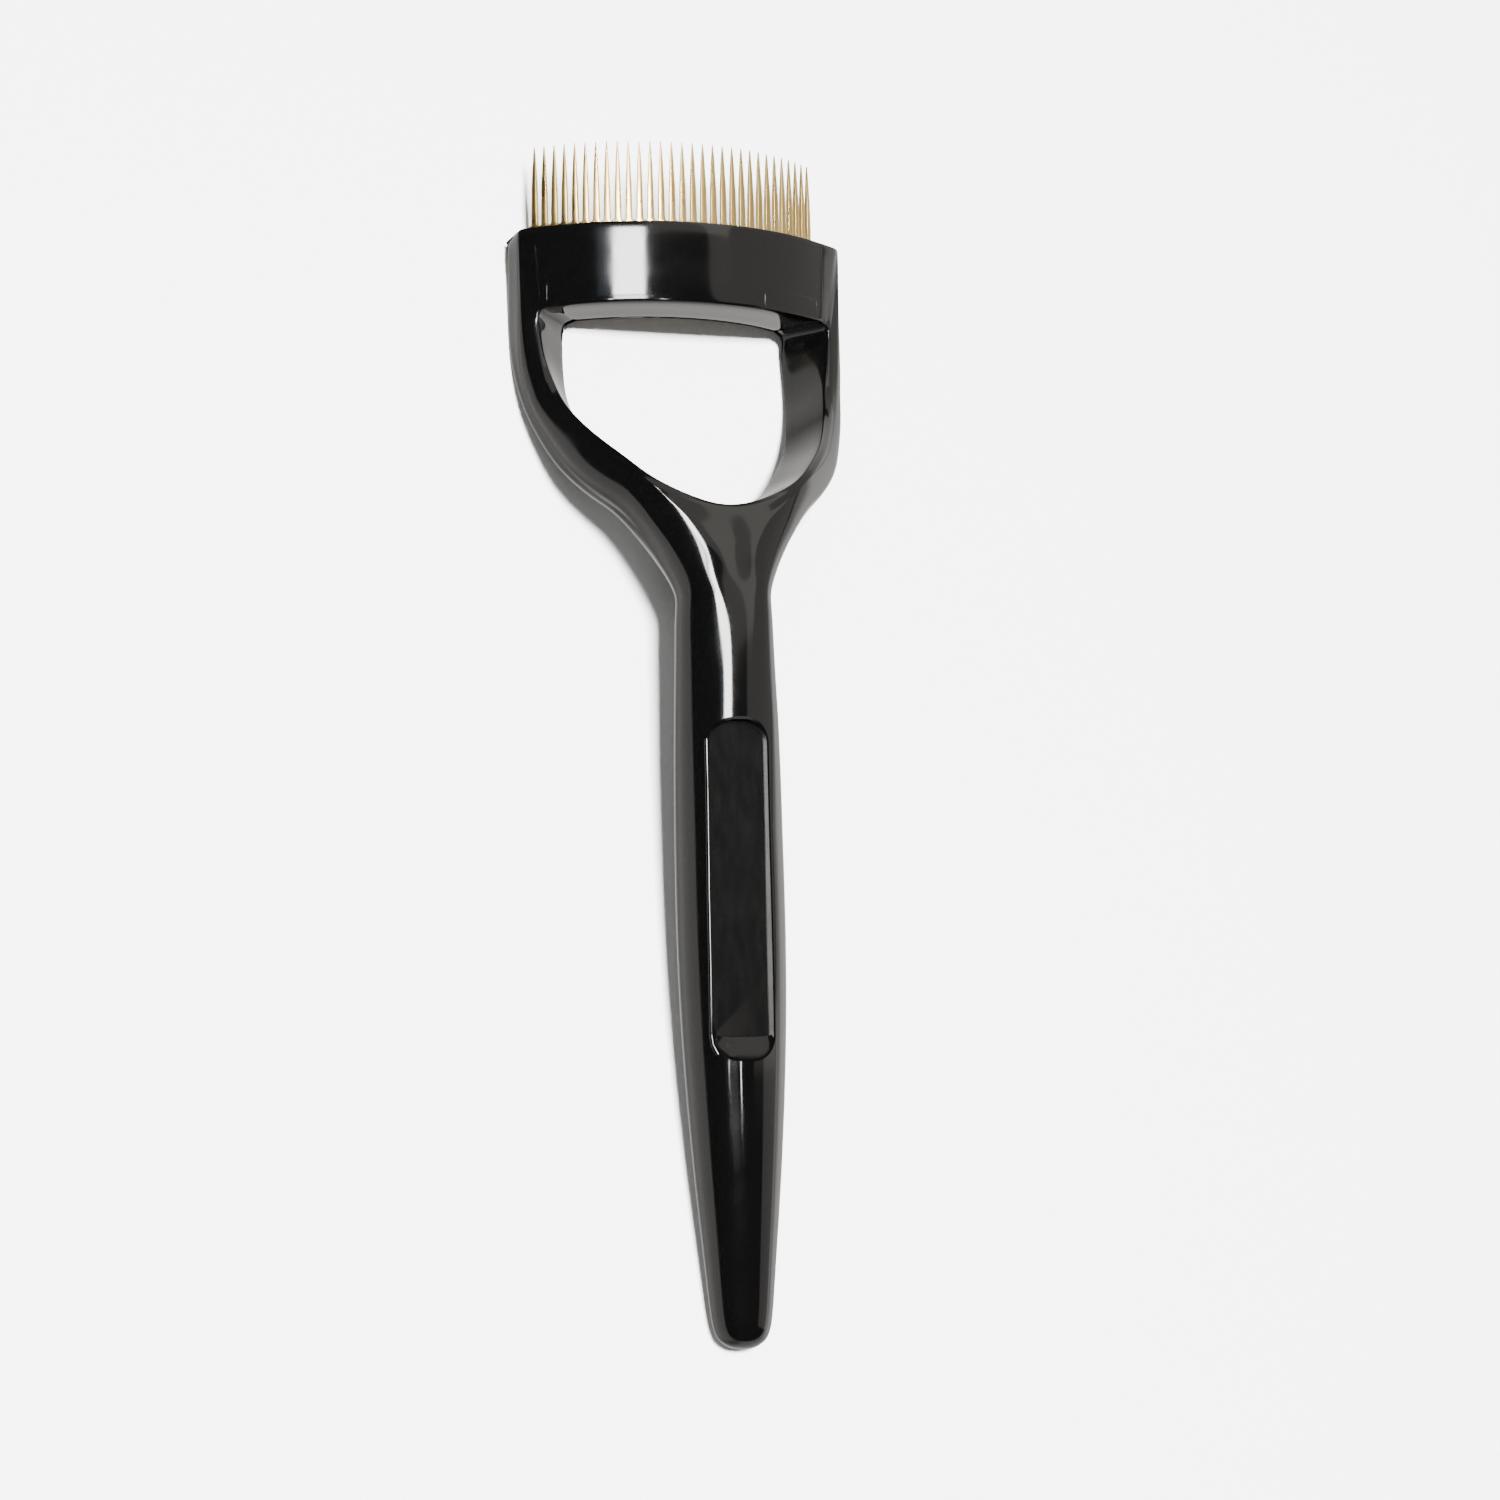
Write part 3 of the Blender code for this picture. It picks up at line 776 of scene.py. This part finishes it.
# %% [markdown]
# ## Raising the island
#
# The outline is extruded three times: to the top of the wall, to the top of the flare, and straight
# up until it is clear of the handle. Then its foot is laid on the sloping floor. At the lower end
# the foot is pulled back from the wall above it, and the wall between them becomes the ramp.

# %% Extrude the island
RAMP_LENGTH = 1.9


def raise_face(face, place):
    """Extrudes the island's top face, and puts each new vertex where place says."""
    made = bmesh.ops.extrude_face_region(island, geom=[face], use_keep_orig=True)["geom"]
    top = next(item for item in made if isinstance(item, bmesh.types.BMFace))
    for vert in top.verts:
        vert.co = place(vert.co)
    return top


face = next(iter(island.faces))
foot = list(face.verts)
for place in (wall_top, flare_top, over_the_handle):
    top = raise_face(face, place)
    if place is not wall_top:
        bmesh.ops.delete(island, geom=[face], context="FACES_ONLY")
    face = top
ramp_start = FLAT_END_Y + FLAT_CORNER
for vert in foot:
    vert.co.y += RAMP_LENGTH * max(0.0, (ramp_start - vert.co.y) / FLAT_CORNER)
    vert.co.z = floor_z(vert.co.y)
bmesh.ops.recalc_face_normals(island, faces=island.faces)
print("island:", len(island.faces), "faces,", open_edges(island), "open edges")

# %% [markdown]
# ## Cutting the flat
#
# The Boolean's manifold solver is used because both shapes are closed, and it leaves clean edges.
# The floor is then picked out by its height and given the satin. That finishes the frame, and it
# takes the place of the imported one.

# %% Cut it
thumb_island = draft_object(island, "thumb_island")
cut = frame_draft.modifiers.new("thumb_flat", "BOOLEAN")
cut.operation = "DIFFERENCE"
cut.object = thumb_island
cut.solver = "MANIFOLD"
handle_frame = bake(frame_draft)
for helper in (frame_draft, thumb_island):
    bpy.data.objects.remove(helper)
print("open edges after the cut:", open_edges(handle_frame))

# %% Give the floor its satin, and finish the frame
for face in handle_frame.faces:
    centre = face.calc_center_median()
    on_floor = abs(centre.z - floor_z(centre.y)) < 0.02 and face.normal.z > 0.99
    if on_floor and FLAT_END_Y < centre.y < FLAT_TOP_Y and abs(centre.x) < FLAT_HALF_WIDTH:
        face.material_index = 1
print("satin faces:", sum(face.material_index for face in handle_frame.faces))
frame_piece = finish_piece(handle_frame, "handle_frame_fine", [frame_black, thumb_satin], 28)
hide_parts("handle_frame")

# %% [markdown]
# ## Witness lines
#
# Where two blocks of the mould meet, the plastic keeps a hair-thin raised line. They are
# a few hundredths of a millimetre high, so they only show where they cross a reflection.
# A flat six-sided loop is extruded along points that are dropped on to the frame's front surface,
# half of it sunk in, which leaves a soft ridge.

# %% Find points along the surface
LINE_STEP = 0.5


def steps_between(stops):
    """Points every half millimetre or so along straight runs between stops in X and Y."""
    spots = [Vector(stops[0])]
    for start, end in zip(stops, stops[1:]):
        start, end = Vector(start), Vector(end)
        count = max(2, math.ceil((end - start).length / LINE_STEP))
        spots += [start.lerp(end, k / count) for k in range(1, count + 1)]
    return spots


print("points along a line of 5 mm:", len(steps_between(((0, 0), (5, 0)))))

# %% Draw a ridge along the surface
RIDGE_SIDES = 6

ridges = bmesh.new()
corner = ridges.verts.layers.int.new("corner")


def draw_ridge(stops, width, height):
    path = [front_at(spot.x, spot.y) for spot in steps_between(stops)]
    first = bmesh.ops.create_circle(ridges, cap_ends=True, segments=RIDGE_SIDES, radius=1.0)["verts"]
    for number, vert in enumerate(first):
        vert[corner] = number
    face = first[0].link_faces[0]
    for i, (point, normal) in enumerate(path):
        if i:
            made = bmesh.ops.extrude_face_region(ridges, geom=[face], use_keep_orig=i == 1)["geom"]
            face = next(item for item in made if isinstance(item, bmesh.types.BMFace))
        run = path[min(i + 1, len(path) - 1)][0] - path[max(i - 1, 0)][0]
        side = run.cross(normal).normalized()
        for vert in face.verts:
            a = math.tau * vert[corner] / RIDGE_SIDES
            vert.co = point + side * math.cos(a) * width / 2 + normal * math.sin(a) * height


# %% The lines on the head
# Stops in X and Y, width, height.
HEAD_LINES = (
    (((13.15, -0.6), (13.15, -7.3)), 0.09, 0.022),
    (((-14.17, -1.8), (-13.82, -7.3)), 0.05, 0.005),
    (((6.45, -7.2), (6.45, -5.7), (12.35, -5.7), (12.35, -7.2)), 0.07, 0.022),
    (((-13.3, -5.6), (-13.3, -6.9)), 0.06, 0.015),
)

for line in HEAD_LINES:
    draw_ridge(*line)
print("lines on the head:", len(HEAD_LINES))

# %% [markdown]
# ## The bead on the rim of the thumb flat
#
# The left rim of the thumb flat carries one thin bright line down the handle. A low rounded bead
# is taken to lie along it, because a plain chamfer there turns its gloss to the dark of the room.
# The bead is drawn like the witness lines, only wider and higher, and it curls in at the lower
# end with the corner of the flat.

# %% The bead
RIM_BEAD = ((-2.9, -48.4), (-3.07, -62.0), (-3.1, -74.0), (-2.98, -74.9), (-2.6, -75.7))

draw_ridge(RIM_BEAD, width=0.3, height=0.055)
bmesh.ops.recalc_face_normals(ridges, faces=ridges.faces)
lines_piece = finish_piece(ridges, "witness_lines", [frame_black], 60)

# %% [markdown]
# ## Gold
#
# The comb is taken to be steel sheet with a thin pale gold plating, cut out and then tumbled to
# take the burrs off, which leaves a soft satin. The tumbling marks run along the teeth,
# so the noise for the roughness and the bump is stretched that way, and the plating's colour
# wanders a little from tooth to tooth.

# %% The gold finish
GOLD = (0.64, 0.45, 0.18)
GOLD_DEEP = (0.5, 0.33, 0.1)

comb_gold, shader = start_material("pale_gold", GOLD, 0.3, 1.0)
spread(comb_gold, noise(comb_gold, 900, stretch=(1, 0.15, 1)), 0.24, 0.36, shader.inputs["Roughness"])
plating = comb_gold.node_tree.nodes.new("ShaderNodeMix")
plating.data_type = "RGBA"
plating.inputs["A"].default_value = (*GOLD, 1.0)
plating.inputs["B"].default_value = (*GOLD_DEEP, 1.0)
spread(comb_gold, noise(comb_gold, 350), 0.0, 0.5, plating.inputs["Factor"])
comb_gold.node_tree.links.new(plating.outputs["Result"], shader.inputs["Base Color"])
relief(comb_gold, shader, (noise(comb_gold, 3000, stretch=(1, 0.1, 1)), 0.000001))
print("made", comb_gold.name)

# %% [markdown]
# ## One tooth
#
# The comb is one flat strip, cut out and bent round. One tooth and the plate under it are made
# first, one pitch wide. A row of edges across the plate is extruded upwards, and at the top of the
# plate the row is bent into half of a round gap on each side. Only the middle edges go
# on up as the tooth. The tooth is given its thickness and its rounded edges while it is
# still a straight bar, and is thinned to a needle afterwards, so the rounding gets finer with it.

# %% Sizes of the comb
TOOTH_COUNT = 30
PITCH = 1.0
ROOT_WIDTH = 0.62
GAP_FLOOR = 0.95        # lowest point of the round gap, above the band
ROOT_Y = 1.15
PLATE_TOP = 0.6
TANG_DEPTH = 4.6
WINDOW_Y = (-3.2, -1.4)
SHEET = 0.4
# Height above the band, and the tooth's width there.
TOOTH_WIDTHS = (
    (1.15, 0.62), (2.7, 0.57), (4.2, 0.52), (5.1, 0.45), (6.35, 0.36), (7.45, 0.23), (8.1, 0.12), (8.44, 0.05),
)
TOUCHING = 1e-6         # places nearer than this are the same

half_gap = (PITCH - ROOT_WIDTH) / 2
print("half of the gap at the roots:", round(half_gap, 3), "mm")

# %% Draw the plate's lower edge
columns = [
    math.copysign(PITCH / 2 - half_gap * math.sin(math.radians(a)), side)
    for side, turns in ((-1, (0, 30, 60, 90)), (1, (90, 60, 30, 0))) for a in turns
]
tooth = bmesh.new()
row = [tooth.verts.new((x, -TANG_DEPTH, 0)) for x in columns]
edges = [tooth.edges.new(pair) for pair in zip(row, row[1:])]
print("columns across one pitch:", [round(x, 3) for x in columns])


# %% Draw the tooth up from it


def gap_height(x):
    """The round gap's edge at x."""
    reach = min(1.0, (PITCH / 2 - abs(x)) / half_gap)
    return ROOT_Y - (ROOT_Y - GAP_FLOOR) * math.sqrt(max(0.0, 1 - reach**2))


def extrude_up(edges, height):
    """Extrudes a row of edges, and puts each new vertex at the height that its x gives."""
    made = bmesh.ops.extrude_edge_only(tooth, edges=edges)["geom"]
    for vert in (item for item in made if isinstance(item, bmesh.types.BMVert)):
        vert.co.y = height(vert.co.x)
    low = min(height(x) for x in columns) - TOUCHING
    return [
        item for item in made if isinstance(item, bmesh.types.BMEdge)
        and len(item.link_faces) == 1 and all(v.co.y > low for v in item.verts)
        and abs(item.verts[0].co.x - item.verts[1].co.x) > TOUCHING
    ]


for y in (*WINDOW_Y, PLATE_TOP):
    edges = extrude_up(edges, lambda x, y=y: y)
edges = extrude_up(edges, gap_height)
edges = [edge for edge in edges if all(abs(v.co.x) < ROOT_WIDTH / 2 + TOUCHING for v in edge.verts)]
for y, _ in TOOTH_WIDTHS[1:]:
    edges = extrude_up(edges, lambda x, y=y: y)
bmesh.ops.recalc_face_normals(tooth, faces=tooth.faces)
print("flat tooth:", len(tooth.faces), "faces")

# %% [markdown]
# ## From a flat tooth to a needle
#
# The tooth is given its thickness by extruding the flat drawing, and its sharp edges are bevelled
# while it is still a straight bar. Only then is it narrowed to its table of widths and thinned
# towards the tip, so the rounding gets finer with it. The faces where one pitch joins the next
# come away, because they would be walls inside the finished strip.

# %% Its width and thickness at any height
EDGE_ROUND = 0.07
TIP_THICKNESS = 0.10
TAPER_START = 4.2
TIP_Y = TOOTH_WIDTHS[-1][0]


def width_at(y):
    for (y0, w0), (y1, w1) in zip(TOOTH_WIDTHS, TOOTH_WIDTHS[1:]):
        if y <= y1:
            return w0 + (w1 - w0) * (y - y0) / (y1 - y0)
    return TOOTH_WIDTHS[-1][1]


def thin_to_needle(bm):
    """Narrows and thins a straight tooth towards its tip."""
    for vert in bm.verts:
        if vert.co.y > ROOT_Y:
            taper = max(0.0, (vert.co.y - TAPER_START) / (TIP_Y - TAPER_START))
            vert.co.x *= width_at(vert.co.y) / ROOT_WIDTH
            vert.co.z *= 1 - taper * (1 - TIP_THICKNESS / SHEET)


print("width halfway up a tooth:", round(width_at(TIP_Y / 2), 3), "mm")


# %% Thicken it, round its edges and thin it
def shaped_tooth(has_window):
    """The mesh of one tooth, with or without an opening in the plate under it."""
    bm = tooth.copy()
    if has_window:
        opening = [face for face in bm.faces if WINDOW_Y[0] < face.calc_center_median().y < WINDOW_Y[1]]
        bmesh.ops.delete(bm, geom=opening, context="FACES")
    bmesh.ops.translate(bm, verts=bm.verts, vec=(0, 0, -SHEET / 2))
    made = bmesh.ops.extrude_face_region(bm, geom=list(bm.faces), use_keep_orig=True)["geom"]
    bmesh.ops.translate(bm, verts=[v for v in made if isinstance(v, bmesh.types.BMVert)], vec=(0, 0, SHEET))
    bmesh.ops.recalc_face_normals(bm, faces=bm.faces)
    joining = [f for f in bm.faces if all(abs(abs(v.co.x) - PITCH / 2) < TOUCHING for v in f.verts)]
    bmesh.ops.delete(bm, geom=joining, context="FACES_ONLY")
    sharp = [
        edge for edge in bm.edges if len(edge.link_faces) == 2
        and edge.calc_face_angle() > 1.2 and all(v.co.y > 0 for v in edge.verts)
    ]
    bmesh.ops.bevel(
        bm, geom=sharp, offset=EDGE_ROUND, offset_type="OFFSET", segments=2, profile=0.5,
        affect="EDGES", material=-1, clamp_overlap=True,
    )
    thin_to_needle(bm)
    mesh = bpy.data.meshes.new("tooth_draft")
    bm.to_mesh(mesh)
    bm.free()
    return mesh


plain_tooth, window_tooth = shaped_tooth(False), shaped_tooth(True)
print("tooth:", len(plain_tooth.polygons), "faces")

# %% [markdown]
# ## Thirty teeth on a curve
#
# The tooth is copied along the strip and the copies are merged where they touch, so the whole comb
# is one body. The tang below has windows that plastic flows through when the handle is moulded
# round it. Bending the strip turns each vertex's x into an angle, which keeps the pitch the
# same all the way round.

# %% Copy and merge
# The teeth that stand over a window, from the first to before the second.
WINDOWS = ((2, 4), (8, 10), (14, 16), (20, 22), (26, 28))

strip = bmesh.new()
for number in range(TOOTH_COUNT):
    known = set(strip.verts)
    over_window = any(start <= number < end for start, end in WINDOWS)
    strip.from_mesh(window_tooth if over_window else plain_tooth)
    fresh = [v for v in strip.verts if v not in known]
    bmesh.ops.translate(strip, verts=fresh, vec=((number + 0.5 - TOOTH_COUNT / 2) * PITCH, 0, 0))
for mesh in (plain_tooth, window_tooth):
    bpy.data.meshes.remove(mesh)
tooth.free()
bmesh.ops.remove_doubles(strip, verts=strip.verts, dist=1e-4)
bmesh.ops.holes_fill(strip, edges=[edge for edge in strip.edges if len(edge.link_faces) == 1], sides=0)
bmesh.ops.delete(strip, geom=[edge for edge in strip.edges if not edge.link_faces], context="EDGES")
bmesh.ops.recalc_face_normals(strip, faces=strip.faces)
print("open edges in the strip:", open_edges(strip))

# %% Bend the strip
COMB_R = 20.2

for vert in strip.verts:
    a = vert.co.x / COMB_R
    r = COMB_R + vert.co.z
    vert.co = Vector((r * math.sin(a), vert.co.y, r * math.cos(a) - COMB_R))
comb_piece = finish_piece(strip, "comb_strip_fine", [comb_gold], 50)
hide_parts("comb_strip")

# %% [markdown]
# ## The table
#
# The comb lies on a plain pale table, whose only work is to take the shadow. It isn't seen in the
# gloss. A mirror-black handle would show the lit patch and the dark far edge of a real table in
# its flanks, and that would hide its form. An even glow stands for the table there, and it comes
# further down.

# %% Lay the table
TABLE_HALF_SIZE = 3.0       # metres

table = bmesh.new()
bmesh.ops.create_grid(table, x_segments=1, y_segments=1, size=TABLE_HALF_SIZE)
bmesh.ops.translate(table, verts=table.verts, vec=(0, 0, cad_box[0].z))
table_mesh = bpy.data.meshes.new("table")
table.to_mesh(table_mesh)
table.free()
table_white, shader = start_material("table_white", (0.9, 0.9, 0.9), 0.7, 0.0)
spread(table_white, noise(table_white, 30), 0.65, 0.75, shader.inputs["Roughness"])
table_mesh.materials.append(table_white)
table_top = bpy.data.objects.new("table", table_mesh)
bpy.context.scene.collection.objects.link(table_top)
table_top.visible_glossy = False
print("table at", round(cad_box[0].z * 1000, 3), "mm")

# %% [markdown]
# ## The camera
#
# The comb is seen from high over its front, turned a little to the left, through a long lens that
# keeps the sides of the head almost parallel. The camera's place is given in the upright design,
# as its turn, its distance from the band and its slide, and the same matrix that lays the comb
# down takes the camera along.

# %% Place the camera
CAMERA_TURN = (17.43, 5.81, 0.95)       # degrees to the left of the head, below it, and of roll
CAMERA_AWAY = 300.0                     # mm from the plane through the band's top
CAMERA_SLIDE = (-5.69, 47.77)           # mm that the head lies off the middle of the view
LENS = 78.09

turn, dip, roll = (math.radians(a) for a in CAMERA_TURN)
facing = (
    Matrix.Rotation(-roll, 3, "Z").transposed() @ Matrix.Rotation(-dip, 3, "X") @ Matrix.Rotation(turn, 3, "Y")
)
from_head = facing.transposed() @ Vector((-CAMERA_SLIDE[0], -CAMERA_SLIDE[1], CAMERA_AWAY))
upright = Matrix.Rotation(math.radians(REST_TILT), 3, "X")

lens_data = bpy.data.cameras.new("camera")
lens_data.lens = LENS
lens_data.sensor_width = 36.0
lens_data.clip_start = 0.01
camera = bpy.data.objects.new("camera", lens_data)
camera.matrix_world = Matrix.Translation(lay_down @ from_head) @ (upright @ facing.transposed()).to_4x4()
bpy.context.scene.collection.objects.link(camera)
bpy.context.scene.camera = camera
print("camera at", [round(c, 4) for c in camera.matrix_world.translation])


# %% [markdown]
# ## A softbox
#
# A softbox is a lamp behind a rectangle of cloth, so it is an area light. It is placed by two
# angles as seen from the head, because on a glossy surface the angle alone decides where
# its reflection falls. Its sides are kept square to the handle, and so are the reflection's edges.

# %% A softbox
def softbox(name, angle, lean, distance, width, length, power, color):
    """An area light that faces the head, at an angle to the right of upright and a lean up the handle's line."""
    a, b = math.radians(angle), math.radians(lean)
    out = Vector((math.sin(a) * math.cos(b), math.sin(b), math.cos(a) * math.cos(b)))
    box = bpy.data.lights.new(name, "AREA")
    box.shape = "RECTANGLE"
    box.size, box.size_y = width, length
    box.energy = power
    box.color = color
    along = (Vector((0, 1, 0)) - out * out.y).normalized()
    aim = Matrix((along.cross(out), along, out)).transposed()
    lamp = bpy.data.objects.new(name, box)
    lamp.matrix_world = Matrix.Translation(upright @ out * distance) @ (upright @ aim).to_4x4()
    bpy.context.scene.collection.objects.link(lamp)
    return lamp


# %% [markdown]
# ## Lights for the gloss
#
# A polished black object is lit by what it reflects, so each light here is there for the shape
# that it draws. The strips stand in a row over the left of the head: the upper ones give the bright
# bar on the band and the long highlight on the bend, and the last ones fade it out down the handle.
# Two slits give fine lines low on the handle. The warm panels on the right and overhead fill the
# right side of the band, the flat edges and the underside of the band with an even grey.
# The rest stays dark, and the form is read from the edges between the two. These lights
# are seen only in the gloss, so they don't wash out the black or the table.

# %% Set up the lights that the gloss shows
DAYLIGHT = (1.0, 0.99, 0.97)
WARM = (1.0, 0.945, 0.875)
WHITE = (1.0, 1.0, 1.0)
# Name, angle, lean, distance, width and length in metres, power in watts, color.
GLOSS_LIGHTS = (
    ("strip_high", -20.0, 17.0, 0.7, 0.185, 0.125, 5.6, DAYLIGHT),
    ("strip_halo", -31.0, 17.0, 0.7, 0.12, 0.13, 0.03, (0.6, 0.8, 1.0)),
    ("strip_low", -19.5, 5.2, 0.7, 0.19, 0.14, 4.3, DAYLIGHT),
    ("strip_tail", -18.5, -5.0, 0.7, 0.2, 0.1, 0.03, (0.85, 0.95, 1.0)),
    ("slit_left", -29.0, -1.8, 0.7, 0.022, 0.037, 0.2, WHITE),
    ("slit_right", -3.0, -2.8, 0.7, 0.022, 0.054, 0.2, WHITE),
    ("side_panel", 72.0, -12.0, 0.8, 0.65, 0.34, 0.55, WARM),
    ("panel", 56.0, 28.0, 0.8, 1.05, 0.95, 2.5, WARM),
    ("far_panel", 12.0, 47.0, 0.8, 0.62, 0.85, 1.67, WARM),
)

for setting in GLOSS_LIGHTS:
    softbox(*setting).visible_diffuse = False
print("lights for the gloss:", len(GLOSS_LIGHTS))

# %% [markdown]
# ## Lights for the table
#
# A small lamp high over the comb throws the shadow, and a large one fills it, so the shadow is
# soft but still says where the comb touches the table. Neither is seen in the gloss.

# %% Set up the lights that the table shows
overhead = softbox("overhead", -4.5, 6.0, 0.8, 0.1, 0.1, 48.0, WHITE)
fill = softbox("fill", -10.0, 0.0, 0.9, 1.2, 1.2, 3.0, WHITE)
for lamp in (overhead, fill):
    lamp.visible_glossy = False
print("shadow to fill:", overhead.data.energy / fill.data.energy)

# %% [markdown]
# ## The glow that stands for the table
#
# The world gives the gloss what the table would. Below the horizon it glows, and above it the room
# is nearly dark. The glow is weaker close by on the left, where the comb shades its own table, and
# stronger low on the right, under the panels. Each of these is a ramp on the direction that the
# world is seen in, so no picture of a room is needed.

# %% Nodes that read a direction
world = bpy.data.worlds.new("studio")
world.use_nodes = True
nodes, links = world.node_tree.nodes, world.node_tree.links


def feed(socket, value):
    """Gives a socket a number, or what another node makes."""
    if isinstance(value, bpy.types.NodeSocket):
        links.new(value, socket)
    else:
        socket.default_value = value


def ramp(value, start, end, at_start, at_end):
    """Runs evenly from at_start to at_end while value runs from start to end."""
    node = nodes.new("ShaderNodeMapRange")
    numbers = {"Value": value, "From Min": start, "From Max": end, "To Min": at_start, "To Max": at_end}
    for name, number in numbers.items():
        feed(node.inputs[name], number)
    return node.outputs["Result"]


def combine(operation, *values):
    """One sum, product or the like."""
    node = nodes.new("ShaderNodeMath")
    node.operation = operation
    for socket, value in zip(node.inputs, values):
        feed(socket, value)
    return node.outputs["Value"]


# %% Build the glow
TABLE_GLOW = 1.2        # what the black plastic sees of the pale table
SHADED_GLOW = 0.4       # the same close by on the left, where the comb shades the table
SIDE_GLOW = 0.9         # more of it low on the right, under the panels
ROOM_GLOW = 0.03
SHADED_AT = -0.3        # the middle of the shaded part, from -1 at the left to 1 at the right
SHADED_REACH = 0.35
HORIZON = 0.03          # half of the band in which table turns into room

direction = nodes.new("ShaderNodeTexCoord")
parts = nodes.new("ShaderNodeSeparateXYZ")
links.new(direction.outputs["Generated"], parts.inputs["Vector"])
rightward, upward = parts.outputs["X"], parts.outputs["Z"]

from_shade = combine("ABSOLUTE", combine("ADD", rightward, -SHADED_AT))
table_glow = ramp(from_shade, 0.0, SHADED_REACH, SHADED_GLOW, TABLE_GLOW)
low_down = ramp(upward, -0.14, -0.28, 0.0, 1.0)
far_right = ramp(rightward, 0.75, 0.92, 0.0, SIDE_GLOW)
below = combine("ADD", combine("MULTIPLY", low_down, far_right), table_glow)
feed(nodes["Background"].inputs["Strength"], ramp(upward, -HORIZON, HORIZON, below, ROOM_GLOW))
nodes["Background"].inputs["Color"].default_value = (1.0, 0.98, 0.95, 1.0)
bpy.context.scene.world = world
print("nodes in the glow:", len(nodes))
